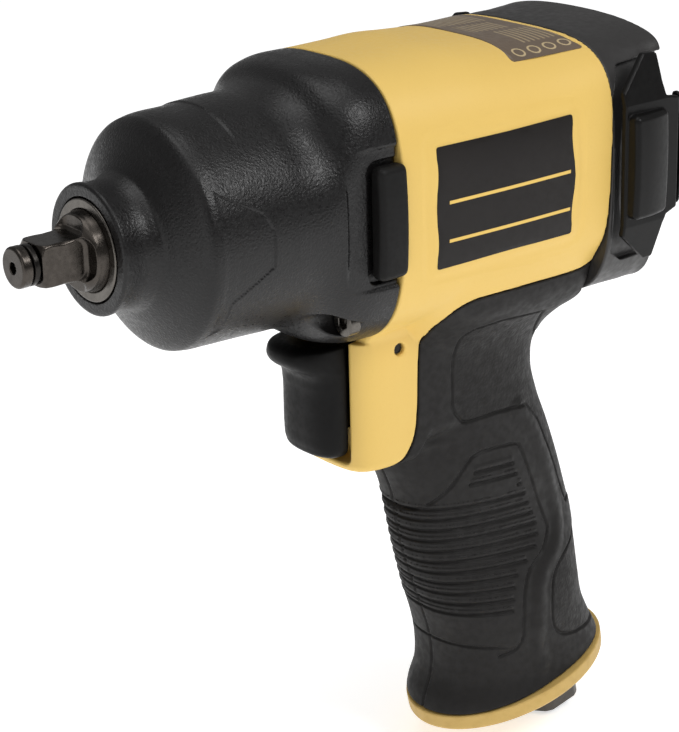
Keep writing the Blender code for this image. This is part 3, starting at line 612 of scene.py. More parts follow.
def housing_field(x, y, z):
    side = np.abs(y)
    skin = handle_skin(x, y, z)
    region = YELLOW_SIDE(x, z)
    outside = both(skin, region + 0.15, 0.45)
    core = both(skin + SLEEVE_WALL, -base_drop(x, z), 0.3)
    core = both(core, region - CORE_REACH)
    shape = np.minimum(outside, core)
    shape = shape + 0.22 * bump(PLATE_EDGE(x, z) - 2.6, 1.8) * step_up(side - 15, 2)
    radial = np.hypot(y, z)
    bore = both(radial - BODY_BORE, x - 132.8)
    bore = np.minimum(bore, radial - 12.4)
    shape = less(shape, bore, 0.3)
    half, back = TRIGGER_HALF + 0.5, TRIGGER_BACK + TRIGGER_TRAVEL + 0.5
    channel = box_field(x, y, z, (60, -half, -65.4), (back, half, -31.0), 1.8)
    pocket = box_field(x, y, z, (60, -7.4, -58.2), (103.0, 7.4, -34.6), 0.6)
    shape = less(shape, channel, 0.7)
    shape = less(shape, pocket, 0.3)
    shape = less(shape, np.maximum(np.hypot(y, z - VALVE_Z) - 7.3, np.abs(x - 111.2) - 21.3))
    inlet = inlet_radius(x, y, z)
    shape = less(shape, np.minimum(np.maximum(inlet - 8.9, z + 124.0), np.maximum(inlet - 4.5, z + 48.5)))
    exhaust = np.hypot(x - 134.0 + 0.138 * (z + 148.0), y)
    shape = less(shape, np.maximum(exhaust - 6.0, z + 64.8))
    pin = np.hypot(x - PIN_X, z - PIN_Z)
    shape = less(shape, pin - 1.55, 0.3)
    shape = less(shape, np.maximum(base_screw_radius(x, y, z) - 1.9, z + 129.6))
    for wide, high in REAR_SCREWS:
        shape = less(shape, np.maximum(np.hypot(side - wide, z - high) - 2.2, 138.0 - x))
    screw = np.hypot(side - CASE_SCREW[0], z - CASE_SCREW[1])
    return less(shape, np.maximum(screw - 2.2, x - 90.6))


# Lines moulded into the sleeve, in side view
UPPER_PANEL = Outline(
    arcs(
        [
            (109.7, -37.0, 3.0), (110.3, -57.0, 4.5), (114.0, -61.6, 3.0), (124.0, -61.3, 0),
            (135.5, -62.2, 3.0), (141.3, -68.5, 4.0), (153.8, -95.5, 0.5), (176.0, -95.5, 0),
            (176.0, -44.6, 0), (139.0, -44.4, 0.5), (134.5, -35.0, 2.5), (119.6, -33.7, 0),
            (112.0, -34.7, 2.0),
        ],
        1.0,
    )
)
FRONT_PANEL_LINE = Outline(
    smooth_path(
        [
            (99.0, -86.6), (104.5, -86.0), (108.0, -83.4), (111.5, -79.2), (113.8, -75.4),
            (116.8, -71.5), (121.0, -70.6), (130.0, -71.3), (132.8, -73.0), (136.2, -81.2),
            (142.6, -96.0), (143.3, -99.4), (140.6, -103.8), (135.2, -107.5), (132.6, -113.0),
            (132.1, -120.0), (132.1, -125.5), (130.4, -128.8), (126.0, -130.2),
        ]
    ),
    region=False,
)
REAR_PANEL = Outline(
    smooth_path(
        [
            (178.0, -97.0), (164.0, -100.5), (154.8, -105.3), (147.4, -108.5), (143.4, -112.0),
            (142.1, -117.0), (142.2, -123.8), (144.2, -127.9), (148.5, -130.2), (157.0, -131.4),
            (178.0, -133.0),
        ]
    )
)
RIB_LINE = Outline(
    smooth_path(
        [
            (133.0, -62.0), (139.0, -71.0), (144.0, -83.0), (148.2, -96.0), (146.6, -103.5),
            (139.2, -110.0), (137.2, -118.0), (137.3, -128.0), (139.0, -136.0),
        ]
    ),
    region=False,
)
GROOVES = 14
GROOVE_TOP = -76.0
GROOVE_PITCH = 3.12
GROOVE_DIP = 0.0019
GROOVE_DIP_X = 112.0
GROOVE_ENDS = Curve(
    (
        (-119.5, 128.4), (-112.5, 129.0), (-107.2, 131.2), (-102.0, 138.4), (-98.3, 139.2),
        (-90.0, 136.3), (-80.6, 131.6), (-77.4, 130.0),
    )
)
GROOVE_STARTS = Curve(((-200.0, 80.0), (-85.5, 80.0), (-84.5, 113.2), (-80.0, 116.4), (-60.0, 116.8)))


def groove_dip(x):
    """How far a groove has dropped at x, behind the place where it starts to dip."""
    return GROOVE_DIP * np.maximum(x - GROOVE_DIP_X, 0) ** 2


def groove_height(row, x):
    """Height of one grip groove, which dips a little to the rear."""
    return GROOVE_TOP - GROOVE_PITCH * row - groove_dip(x)


def sleeve_relief(x, y, z):
    """How far the sleeve's surface is sunk below the plain skin."""
    width = 0.62
    side = step_up(np.abs(y) - 3.0, 2.0)
    sunk = 0.55 * bump(UPPER_PANEL(x, z), width) + 0.18 * step_up(-UPPER_PANEL(x, z), 0.5)
    sunk = sunk + 0.5 * bump(FRONT_PANEL_LINE(x, z), width)
    sunk = sunk + 0.5 * bump(REAR_PANEL(x, z), width) + 0.15 * step_up(-REAR_PANEL(x, z), 0.5)
    sunk = sunk - 0.7 * bump(RIB_LINE(x, z), 3.4) * side
    # grooves round the front of the grip
    row = np.clip(np.round((GROOVE_TOP - z - groove_dip(x)) / GROOVE_PITCH), 0, GROOVES - 1)
    level = groove_height(row, x)
    ends = GROOVE_ENDS(level)[0]
    starts = GROOVE_STARTS(level)[0]
    past = np.maximum(np.maximum(x - ends, starts - x), 0)
    sunk = sunk + 0.62 * bump(np.hypot(z - level, past), 0.75)
    sunk = sunk - 0.22 * bump(z - level - 1.4, 1.2) * step_up(ends - x, 1.0) * step_up(x - starts, 1.0)
    # short curved line above the flare of the foot
    rise = z + 126.0 + 0.11 * (x - 112.0)
    sunk = sunk + 0.45 * bump(rise, 0.6) * step_up(127.0 - x, 8.0)
    # moulding seam down the front
    seam = bump(y, 0.55) * step_up(118.0 - x, 2.0) * step_up(-67.0 - z, 1.0)
    return sunk + 0.5 * seam


def sleeve_field(x, y, z):
    skin = handle_skin(x, y, z)
    region = YELLOW_SIDE(x, z)
    shape = both(skin + sleeve_relief(x, y, z), 0.15 - region, 0.45)
    shape = both(shape, -base_drop(x, z), 0.7)
    shape = np.maximum(shape, -(skin + SLEEVE_WALL - GAP))
    return shape


# ---------------------------------------------------------------- plates
def film(name, path, axis, start, material, step=1.0):
    """A label film: the flat outline laid on the barrel's skin, seen along axis 1 (y) or 2 (z)."""
    path = np.array(path, float)
    low, high = path.min(0), path.max(0)
    count = len(path)
    spots = [Vector(p) for p in path]
    inside = Outline(path)
    rows = [np.arange(low[k], high[k], step) for k in (0, 1)]
    grid = np.stack(np.meshgrid(*rows), -1).reshape(-1, 2)
    grid = grid[inside(grid[:, 0], grid[:, 1]) < -0.4 * step]
    spots += [Vector(p) for p in grid]
    edges = [(k, (k + 1) % count) for k in range(count)]
    made, _, faces, _, _, _ = delaunay_2d_cdt(spots, edges, [], 1, 1e-4)
    flat = np.array([tuple(v) for v in made])
    layers = []
    for proud in (FILM_LIFT, FILM_LIFT + FILM_THICK):
        level = np.full(len(flat), float(start))
        for _ in range(12):
            where = [flat[:, 0], level, flat[:, 1]] if axis == 1 else [flat[:, 0], flat[:, 1], level]
            ahead = list(where)
            ahead[axis] = level + 0.01
            value = along_x(*where, BARREL_CURVE) - proud
            slope = (along_x(*ahead, BARREL_CURVE) - proud - value) / 0.01
            level = level - value / np.where(np.abs(slope) < 0.2, math.copysign(0.2, start), slope)
        where[axis] = level
        layers.append(np.stack(where, 1))
    points = np.vstack(layers)
    mesh = bpy.data.meshes.new(name)
    turned = axis == 1 and start < 0 or axis == 2 and start > 0
    total = len(flat)
    outer = [tuple(k + total for k in (f if turned else f[::-1])) for f in faces]
    inner = [tuple(f[::-1] if turned else f) for f in faces]
    rim = [(a, b, b + total, a + total) if turned else (b, a, a + total, b + total) for a, b in edges]
    mesh.from_pydata([tuple(p * MM) for p in points], [], outer + inner + rim)
    mesh.validate()
    mesh.shade_smooth()
    mesh.set_sharp_from_angle(angle=math.radians(40))
    mesh.materials.append(material)
    return add_object(name, mesh)


# ---------------------------------------------------------------- handle base
def deflector_field(x, y, z):
    lean = math.hypot(1, BASE_SLOPE)
    along = ((x - BASE_X) + (z - BASE_Z) * BASE_SLOPE) / lean
    up = base_drop(x, z)
    rim = oval(along, y, BASE_A, BASE_B, 2.0)
    plate = both(both(rim, up + GAP, 0.35), -5.0 - up, 1.5)
    plate = less(plate, inlet_radius(x, y, z) - 9.4, 0.4)
    for x0 in BASE_VENTS:
        plate = less(plate, np.hypot(x - x0, np.abs(y) - 4.0) - 2.0, 0.3)
    screw = base_screw_radius(x, y, z)
    plate = less(plate, screw - 2.0)
    return less(plate, np.maximum(screw - 3.3, z + 146.6), 0.3)


def inlet_bushing_field(x, y, z):
    lean = math.hypot(1, INLET_SLOPE)
    u = (x - INLET_X + INLET_SLOPE * (z - INLET_Z)) / lean
    w = (z - INLET_FOOT - INLET_SLOPE * (x - INLET_X - INLET_SLOPE * 7.5)) / lean
    radial = np.hypot(u, y)
    flats = np.maximum(np.abs(y), np.maximum(np.abs(0.866 * u + 0.5 * y), np.abs(0.866 * u - 0.5 * y)))
    head = both(both(flats - 9.3, radial - 10.1, 0.2), np.abs(w - 4.6) - 4.6, 0.5)
    body = both(radial - 8.5, np.abs(w - 20.0) - 12.4, 0.3)
    return less(np.minimum(head, body), radial - 6.0, 0.5)


# ---------------------------------------------------------------- rear cap and reversing dial
CAP_RECESS = Outline(
    arcs([(146.9, -20.5), (146.9, 17.5), (151.0, 24.6), (190, 27.4), (190, -24.4), (152.0, -23.8)], 1.2)
)
DIAL_PLATE = Outline(
    arcs(
        [
            (147.0, -15.8), (146.9, 19.3), (155.4, 27.6), (159.8, 27.2), (160.2, 20.5),
            (160.8, 16.9), (165.0, 16.2), (165.0, -11.5), (161.4, -12.8), (160.6, -15.0),
            (158.7, -23.4), (156.0, -23.4),
        ],
        0.8,
    )
)


def cap_field(x, y, z):
    side = np.abs(y)
    roof = z - 33.1 + 0.0054 * y**2 * step_up(x - 150.0, 15.0)
    skin = both(along_x(x, y, z, CAP_CURVE), roof, 2.0)
    shape = both(both(skin, rear_seam(z) - x, 0.5), x - VISOR_FACE, 0.6)
    shape = less(shape, both(REAR_FACE - x, z - 23.5, 0.5), 1.0)
    wall = np.minimum(32.9 - 0.31 * (x - 147.0) - side, -skin - 1.6)
    shape = less(shape, both(CAP_RECESS(x, z), wall, 0.6), 0.4)
    hollow = both(skin + 6.0, x - REAR_FACE + 6.0, 1.0)
    radial = np.hypot(y, z)
    hollow = less(hollow, radial - 11.0)
    for wide, high in REAR_SCREWS:
        hollow = less(hollow, np.hypot(side - wide, z - high) - 4.6)
    shape = less(shape, hollow)
    shape = less(shape, np.minimum(radial - 6.4, np.maximum(radial - 12.6, x - 148.2)), 0.2)
    for wide, high in REAR_SCREWS:
        screw = np.hypot(side - wide, z - high)
        shape = less(shape, np.minimum(screw - 2.2, np.maximum(screw - 3.8, 162.2 - x)), 0.2)
    return less(shape, np.maximum(np.hypot(y, z + 8.2) - 1.5, 158.0 - x))


def dial_field(x, y, z):
    side = np.abs(y)
    shaft = both(np.hypot(y, z) - 6.0, np.abs(x - 159.0) - 10.9, 0.4)
    bow = 170.4 - 0.006 * (z - 2.5) ** 2
    bar = both(both(side - 37.0, x - bow, 5.6), np.abs(z - 2.5) - 14.0, 1.4)
    bar = both(bar, both(166.2 - x, 33.4 - side), 0.4)
    bar = both(bar, 160.8 - x, 0.4)
    lean = 0.28 * np.maximum(z - 16.5, 0) + 0.2 * np.maximum(-13.5 - z, 0)
    plate = both(DIAL_PLATE(x, z), np.abs(side + lean - 36.3) - 0.85, 0.45)
    crown = 40.6 - 0.02 * (x - 151.0) ** 2 * (x > 151.0) - 0.003 * (z - 1.6) ** 2
    pad = box_field(x, side, z, (147.6, 36.0, -11.4), (160.2, 45.0, 14.2), 1.6)
    pad = both(pad, side - crown, 1.3)
    shape = either(either(shaft, bar, 0.6), plate, 0.4)
    shape = either(shape, pad, 0.25)
    return less(shape, np.maximum(np.hypot(y, z + 8.2) - 1.2, x - 166.6))


# ---------------------------------------------------------------- trigger
TRIGGER_CURVE = Curve(
    (
        (-64.8, 78.0, 8.4), (-63.8, 76.4, 9.4), (-61.5, 75.3, 10.0), (-58.0, 75.0, 10.2),
        (-52.0, 75.0, 10.2), (-46.0, 74.9, 10.2), (-43.0, 74.2, 10.2), (-41.4, 72.8, 10.2),
        (-40.2, 70.8, 10.1), (-38.8, 69.5, 10.0), (-37.2, 69.2, 9.9), (-35.4, 70.4, 9.7),
        (-34.4, 72.6, 9.6),
    )
)


def trigger_field(x, y, z):
    front, half = TRIGGER_CURVE(z)
    lean = np.sqrt(1 + ((TRIGGER_CURVE(z + 0.2)[0] - front) / 0.2) ** 2 * 0.5)
    pad = oval(x - 81.5, y, 81.5 - front, half, 2.7) / lean
    pad = both(both(pad, x - TRIGGER_BACK, 0.8), -64.7 + 0.012 * y**2 - z, 2.2)
    pad = both(pad, z + 34.9, 0.9)
    shank = box_field(x, y, z, (78.0, -7.0, -57.6), (97.0, 7.0, -35.2), 0.5)
    shape = np.minimum(pad, shank)
    shape = less(shape, box_field(x, y, z, (PIN_X - TRIGGER_TRAVEL - 1.75, -20, -38.9), (95.3, 20, -30)))
    return less(shape, np.maximum(np.hypot(y, z - VALVE_Z) - 2.4, 90.0 - x))


# ---------------------------------------------------------------- screws
def socket_screw_field(head_x, centre_y, centre_z, length, head_length, head_radius, shank_radius):
    def field(x, y, z):
        x = (x - head_x) * math.copysign(1, length)
        y, z = y - centre_y, z - centre_z
        radial = np.hypot(y, z)
        head = both(radial - head_radius, np.abs(x - head_length / 2) - head_length / 2, 0.35)
        shank = both(radial - shank_radius, np.abs(x - abs(length) / 2 - 0.5) - abs(length) / 2 + 0.5, 0.3)
        flats = np.maximum(np.abs(y), np.maximum(np.abs(0.5 * y + 0.866 * z), np.abs(0.5 * y - 0.866 * z)))
        return less(np.minimum(head, shank), np.maximum(flats - 1.4, x - head_length * 0.6), 0.12)

    return field


# ---------------------------------------------------------------- materials
class Paint:
    """A Principled material whose nodes are added one by one."""

    def __init__(self, name, colour, metallic=0.0, roughness=0.5, specular=0.5):
        self.made = bpy.data.materials.new(name)
        self.made.use_nodes = True
        self.tree = self.made.node_tree
        self.shader = self.tree.nodes["Principled BSDF"]
        self.shader.inputs["Metallic"].default_value = metallic
        self.shader.inputs["Specular IOR Level"].default_value = specular
        self.colour = self.fixed_colour(colour)
        self.rough = self.fixed_value(roughness)
        self.height = None
        self.place = self.tree.nodes.new("ShaderNodeTexCoord").outputs["Object"]

    def fixed_colour(self, colour):
        node = self.tree.nodes.new("ShaderNodeRGB")
        node.outputs[0].default_value = (*colour, 1.0)
        return node.outputs[0]

    def fixed_value(self, value):
        node = self.tree.nodes.new("ShaderNodeValue")
        node.outputs[0].default_value = value
        return node.outputs[0]

    def node(self, kind, value, socket, **settings):
        """A new node with value linked to one socket and other inputs set."""
        node = self.tree.nodes.new("ShaderNode" + kind)
        for name, setting in settings.items():
            node.inputs[name.replace("_", " ").title()].default_value = setting
        self.tree.links.new(value, node.inputs[socket])
        return node

    def stretch(self, x, y, z):
        return self.node("Mapping", self.place, "Vector", scale=(x, y, z)).outputs[0]

    def noise(self, size_mm, detail=3.0, roughness=0.5, place=None):
        settings = {"scale": 1.0 / (size_mm * MM), "detail": detail, "roughness": roughness}
        return self.node("TexNoise", place or self.place, "Vector", **settings).outputs["Fac"]

    def cells(self, size_mm):
        node = self.node("TexVoronoi", self.place, "Vector", scale=1.0 / (size_mm * MM))
        node.feature = "SMOOTH_F1"
        return node.outputs["Distance"]

    def ramp(self, value, low, high, to_low=0.0, to_high=1.0):
        settings = {"from_min": low, "from_max": high, "to_min": to_low, "to_max": to_high}
        return self.node("MapRange", value, "Value", **settings).outputs[0]

    def maths(self, operation, a, b):
        node = self.tree.nodes.new("ShaderNodeMath")
        node.operation = operation
        for value, socket in zip((a, b), node.inputs):
            if isinstance(value, (int, float)):
                socket.default_value = value
            else:
                self.tree.links.new(value, socket)
        return node.outputs[0]

    def tint(self, factor, colour):
        """Mixes another colour in by factor."""
        node = self.tree.nodes.new("ShaderNodeMix")
        node.data_type = "RGBA"
        self.tree.links.new(factor, node.inputs[0])
        self.tree.links.new(self.colour, node.inputs[6])
        node.inputs[7].default_value = (*colour, 1.0)
        self.colour = node.outputs[2]
        return self

    def vary_rough(self, value, low, high):
        """Roughness from low to high as value goes from 0.35 to 0.65."""
        self.rough = self.ramp(value, 0.35, 0.65, low, high)
        return self

    def raise_by(self, value, depth_mm, strength=1.0):
        node = self.node("Bump", value, "Height", strength=strength, distance=depth_mm * MM)
        if self.height:
            self.tree.links.new(self.height, node.inputs["Normal"])
        self.height = node.outputs[0]
        return self

    def along(self, axis):
        """One coordinate of the piece's own space, in metres."""
        return self.node("SeparateXYZ", self.place, 0).outputs[axis]

    def done(self):
        self.tree.links.new(self.colour, self.shader.inputs["Base Color"])
        self.tree.links.new(self.rough, self.shader.inputs["Roughness"])
        if self.height:
            self.tree.links.new(self.height, self.shader.inputs["Normal"])
        return self.made


def cast_paint(name):
    """Black paint with a leathery grain over the cast case."""
    paint = Paint(name, (0.0052, 0.0048, 0.005), roughness=0.33, specular=0.34)
    paint.tint(paint.ramp(paint.noise(30.0), 0.4, 0.7, 0.0, 0.5), (0.008, 0.0074, 0.0074))
    paint.vary_rough(paint.noise(0.9, 2.0), 0.27, 0.42)
    paint.raise_by(paint.cells(0.55), 0.11, 0.6)
    paint.raise_by(paint.noise(0.42, 2.0, 0.6), 0.11, 0.6)
    return paint.done()


def yellow_nylon():
    paint = Paint("yellow_nylon", (0.80, 0.545, 0.15), roughness=0.45, specular=0.3)
    paint.tint(paint.ramp(paint.noise(26.0, 3.0), 0.35, 0.7, 0.0, 0.35), (0.76, 0.505, 0.132))
    paint.tint(paint.ramp(paint.noise(0.5, 2.0), 0.55, 0.8, 0.0, 0.12), (0.62, 0.40, 0.09))
    paint.vary_rough(paint.noise(1.2, 4.0), 0.38, 0.5)
    paint.raise_by(paint.noise(0.35, 3.0), 0.02, 0.35)
    return paint.done()


def deflector_nylon_painted_shade():
    """The handle's foot: the same yellow, made a little darker as painted shade at the bottom of the handle,
    with shallow random marks.
    """
    paint = Paint("deflector_nylon_painted_shade", (0.60, 0.405, 0.13), roughness=0.5, specular=0.25)
    paint.tint(paint.ramp(paint.noise(3.0, 4.0), 0.45, 0.75, 0.0, 0.5), (0.46, 0.29, 0.075))
    paint.vary_rough(paint.noise(1.2, 4.0), 0.42, 0.56)
    paint.raise_by(paint.noise(2.2, 2.0), 0.12, 0.35)
    return paint.done()


def moulded_black(name, base=0.006, rough=(0.42, 0.55), grain=0.5, depth=0.03, strength=0.5, shine=0.2):
    """Black moulded plastic or rubber with a fine matt grain."""
    paint = Paint(name, (base * 1.04, base, base * 0.98), roughness=rough[0], specular=shine)
    paint.tint(paint.ramp(paint.noise(20.0), 0.35, 0.75, 0.0, 0.5), (base * 1.5, base * 1.4, base * 1.35))
    paint.vary_rough(paint.noise(grain * 3, 3.0), *rough)
    paint.raise_by(paint.noise(grain, 2.0), depth, strength)
    return paint.done()


def sleeve_rubber():
    """Grip rubber: matt, with a pebbled texture inside the sunk panels."""
    paint = Paint("grip_rubber", (0.0082, 0.0073, 0.0069), roughness=0.6, specular=0.25)
    paint.tint(paint.ramp(paint.noise(18.0), 0.35, 0.75, 0.0, 0.5), (0.0125, 0.0112, 0.0105))
    paint.vary_rough(paint.noise(2.0, 3.0), 0.5, 0.66)
    paint.raise_by(paint.noise(0.45, 2.0), 0.03, 0.4)
    attribute = paint.tree.nodes.new("ShaderNodeAttribute")
    attribute.attribute_name = "pebbled"
    pebbles = paint.maths("MULTIPLY", paint.cells(0.75), attribute.outputs["Fac"])
    paint.raise_by(pebbles, 0.16, 0.7)
    return paint.done()


def steel(name, colour, rough, scratch_axis=None, wear=0.3):
    """Machined steel: fine turned or ground marks and darker stains."""
    paint = Paint(name, colour, metallic=1.0, roughness=rough)
    darker = tuple(0.45 * c for c in colour)
    paint.tint(paint.ramp(paint.noise(2.5, 4.0, 0.6), 0.42, 0.72, 0.0, wear), darker)
    paint.vary_rough(paint.noise(0.9, 4.0), rough * 0.8, rough * 1.35)
    scale = {None: (1, 1, 1), 0: (14, 1, 1), 1: (1, 14, 1), 2: (1, 1, 14)}[scratch_axis]
    paint.raise_by(paint.noise(1.4, 3.0, 0.6, paint.stretch(*scale)), 0.012, 0.35)
    return paint.done()


def within(paint, value, low, high, soft=0.05):
    """1 where value, in metres, lies between low and high millimetres."""
    rise = paint.ramp(value, (low - soft) * MM, (low + soft) * MM)
    fall = paint.ramp(value, (high - soft) * MM, (high + soft) * MM, 1.0, 0.0)
    return paint.maths("MULTIPLY", rise, fall)


def label_film():
    """Dark film with two plain printed stripes."""
    paint = Paint("label_film", (0.0095, 0.0075, 0.0068), roughness=0.42, specular=0.24)
    paint.tint(paint.ramp(paint.noise(9.0), 0.4, 0.7, 0.0, 0.4), (0.014, 0.0112, 0.010))
    across = within(paint, paint.along(0), 96.8, 132.2)
    level = paint.maths("SUBTRACT", paint.along(2), paint.maths("MULTIPLY", paint.along(0), 0.034))
    for low in (-11.2, -2.0):
        stripe = paint.maths("MULTIPLY", across, within(paint, level, low, low + 0.8))
        paint.tint(stripe, (0.80, 0.535, 0.135))
    paint.vary_rough(paint.noise(1.5, 3.0), 0.36, 0.5)
    paint.raise_by(paint.noise(0.3, 2.0), 0.008, 0.3)
    return paint.done()


def rating_film():
    """Warm grey label with a plain row of rings and bars that say nothing."""
    paint = Paint("rating_film", (0.14, 0.102, 0.07), roughness=0.4)
    paint.tint(paint.ramp(paint.noise(8.0), 0.4, 0.7, 0.0, 0.4), (0.105, 0.077, 0.054))
    ink = (0.50, 0.39, 0.22)
    in_row = within(paint, paint.along(0), 124.4, 143.8)
    to_centre = paint.maths("PINGPONG", paint.along(0), 2.45 * MM)
    off_row = paint.maths("ADD", paint.along(1), 20.6 * MM)
    across, off = (paint.maths("MULTIPLY", value, value) for value in (to_centre, off_row))
    reach = paint.maths("ADD", across, off)
    ring = within(paint, paint.maths("POWER", reach, 0.5), 1.25, 1.75)
    paint.tint(paint.maths("MULTIPLY", ring, in_row), ink)
    bars = within(paint, paint.maths("PINGPONG", paint.along(0), 0.8 * MM), 0.0, 0.3)
    blocks = ((-17.0, -6.0, 132.0, 144.0), (-4.0, 4.0, 128.0, 140.0), (6.0, 19.0, 126.0, 142.0))
    for low, high, near, far in blocks:
        sideways = within(paint, paint.along(1), low, high)
        block = paint.maths("MULTIPLY", sideways, within(paint, paint.along(0), near, far))
        paint.tint(paint.maths("MULTIPLY", paint.maths("MULTIPLY", bars, block), 0.6), ink)
    paint.vary_rough(paint.noise(1.5, 3.0), 0.34, 0.48)
    paint.raise_by(paint.noise(0.3, 2.0), 0.008, 0.3)
    return paint.done()


def brass():
    return steel("brass", (0.62, 0.45, 0.18), 0.33)


def vane_composite():
    paint = Paint("vane_composite", (0.25, 0.14, 0.07), roughness=0.6)
    layers = paint.noise(1.2, 3.0, 0.6, paint.stretch(0.2, 1, 1))
    paint.tint(paint.ramp(layers, 0.4, 0.7, 0.0, 0.7), (0.14, 0.075, 0.04))
    paint.raise_by(layers, 0.02, 0.4)
    return paint.done()


def felt():
    paint = Paint("felt", (0.5, 0.5, 0.48), roughness=0.9)
    paint.tint(paint.ramp(paint.noise(0.5, 5.0, 0.7), 0.4, 0.65, 0.0, 0.8), (0.3, 0.3, 0.29))
    paint.raise_by(paint.noise(0.4, 5.0, 0.7), 0.25, 0.9)
    return paint.done()


# ---------------------------------------------------------------- pieces
def build_front(looks):
    turned = (
        ("anvil", anvil_field, (-0.6, 71.2), 13.2, 0.25, "dark_steel", "anvil_shaft", "dark_steel"),
        ("friction_ring", friction_ring_field, (2.3, 5.0), 5.4, 0.14, "ring", "anvil_shaft", "dark_steel"),
        ("nose_bushing", nose_bushing_field, (17.6, 36.4), 12.6, 0.25, "bushing", "tool_body", "steel"),
    )
    for node, field, (start, end), reach, step, look, body, slot in turned:
        low, high = (start, -reach, -reach), (end, reach, reach)
        place(build(node + "_visual", field, low, high, step, looks[look]), body, slot, node)
    case = build("hammer_case_visual", case_field, (17.6, -30, -35), (85.2, 30.5, 35), 0.45, looks["case"])
    place(case, "tool_body", "black_paint", "hammer_case")
    for side, word in ((-1, "left"), (1, "right")):
        low, high = sorted((side * 26.5, side * 32.2))
        corners = (73.2, low, -14.6), (86.4, high, 14.4)
        pad = build("bumper_visual_" + word, pad_field, *corners, 0.28, looks["pad"], mirrored=False)
        place(pad, "tool_body", "rubber", "bumper_" + word)
        field = socket_screw_field(73.0, side * CASE_SCREW[0], CASE_SCREW[1], 17.0, 3.0, 3.3, 1.9)
        centre = side * CASE_SCREW[0]
        screw = build(
            "case_screw_visual_" + word,
            field,
            (70.4, centre - 4, CASE_SCREW[1] - 4),
            (91.0, centre + 4, CASE_SCREW[1] + 4),
            0.22,
            looks["bushing"],
            mirrored=False,
        )
        place(screw, "tool_body", "steel", "case_screw_" + word)


def build_body(looks):
    corners = (79.0, -35, -156), (148.2, 35.5, 34.5)
    housing = build("motor_housing_visual", housing_field, *corners, 0.58, looks["yellow"])
    place(housing, "tool_body", "yellow", "motor_housing")
    corners = (90.0, -35, -156), (173.4, 35.5, -10)
    sleeve = build("grip_sleeve_visual", sleeve_field, *corners, 0.42, looks["sleeve"])
    mark_panels(sleeve)
    place(sleeve, "tool_body", "rubber", "grip_sleeve")
    for side, word in ((-1, "left"), (1, "right")):
        plate = film("nameplate_visual_" + word, PLATE_PATH, 1, side * 33.0, looks["label"])
        place(plate, "tool_body", "label", "nameplate_" + word)
    rating = film("rating_plate_visual", RATING_PATH, 2, 31.0, looks["rating"])
    place(rating, "tool_body", "label", "rating_plate")
    corners = (109, -24, -154), (173.5, 24, -133)
    deflector = build("exhaust_deflector_visual", deflector_field, *corners, 0.4, looks["deflector"])
    place(deflector, "tool_body", "yellow", "exhaust_deflector")
    corners = (138, -11, -160.5), (169, 11, -122)
    bushing = build("inlet_bushing_visual", inlet_bushing_field, *corners, 0.3, looks["inlet"])
    place(bushing, "tool_body", "dark_steel", "inlet_bushing")


def mark_panels(sleeve):
    """Marks where the sleeve is pebbled: inside its two sunk panels."""
    count = len(sleeve.data.vertices)
    points = np.empty(count * 3, np.float32)
    sleeve.data.vertices.foreach_get("co", points)
    x, _, z = (points.reshape(-1, 3) / MM).T
    inside = step_up(-UPPER_PANEL(x, z) - 0.6, 0.6) + step_up(-REAR_PANEL(x, z) - 0.6, 0.6)
    attribute = sleeve.data.attributes.new("pebbled", "FLOAT", "POINT")
    attribute.data.foreach_set("value", np.clip(inside, 0, 1).astype(np.float32))


def build_rear(looks):
    cap = build("rear_cap_visual", cap_field, (144.0, -35, -35.4), (169.6, 35.2, 34), 0.42, looks["cap"])
    place(cap, "tool_body", "black_nylon", "rear_cap")
    corners = (145.4, -41.6, -24), (171.4, 41.8, 29.6)
    dial = build("reverse_dial_visual", dial_field, *corners, 0.4, looks["dial"])
    place(dial, "dial", "black_nylon", "reverse_dial")
    for k, (side, (wide, high)) in enumerate((s, p) for p in REAR_SCREWS for s in (-1, 1)):
        field = socket_screw_field(165.0, side * wide, high, -25.4, 2.4, 3.4, 1.9)
        screw = build(
            "rear_screw_visual_%d" % (k + 1),
            field,
            (138.6, side * wide - 4.2, high - 4.2),
            (166.0, side * wide + 4.2, high + 4.2),
            0.25,
            looks["steel"],
            mirrored=False,
        )
        place(screw, "tool_body", "steel", "rear_screw_%d" % (k + 1))


def build_trigger(looks):
    corners = (68.2, -11, -65.0), (98.2, 11, -33.8)
    trigger = build("trigger_visual", trigger_field, *corners, 0.32, looks["trigger"])
    place(trigger, "trigger_body", "rubber", "trigger")


def paint_hidden(looks):
    """Gives every CAD node that is carried over a finish; the trigger pin's dark steel is painted shade in its
    hole.
    """
    for name, node in frame["nodes"].items():
        look = HIDDEN_LOOKS.get(name.rstrip("_0123456789"), "steel")
        node.data.materials.clear()
        node.data.materials.append(looks[look])


HIDDEN_LOOKS = {
    "nose_seal": "pad",
    "trigger_pin": "ring",
    # the trigger pin is steel; its dark ring steel here is painted shade in the hole it shows through
    "hammer_cage": "dark_steel",
    "hammer_dog_front": "dark_steel",
    "hammer_dog_rear": "dark_steel",
    "rotor": "dark_steel",
    "vane": "vane",
    "muffler": "felt",
    "inlet_screen": "brass",
    "reverse_valve": "brass",
    "valve_bushing": "brass",
}


# ---------------------------------------------------------------- studio
def look_at(obj, spot, target):
    obj.location = spot
    obj.rotation_euler = (Vector(target) - Vector(spot)).to_track_quat("-Z", "Y").to_euler()


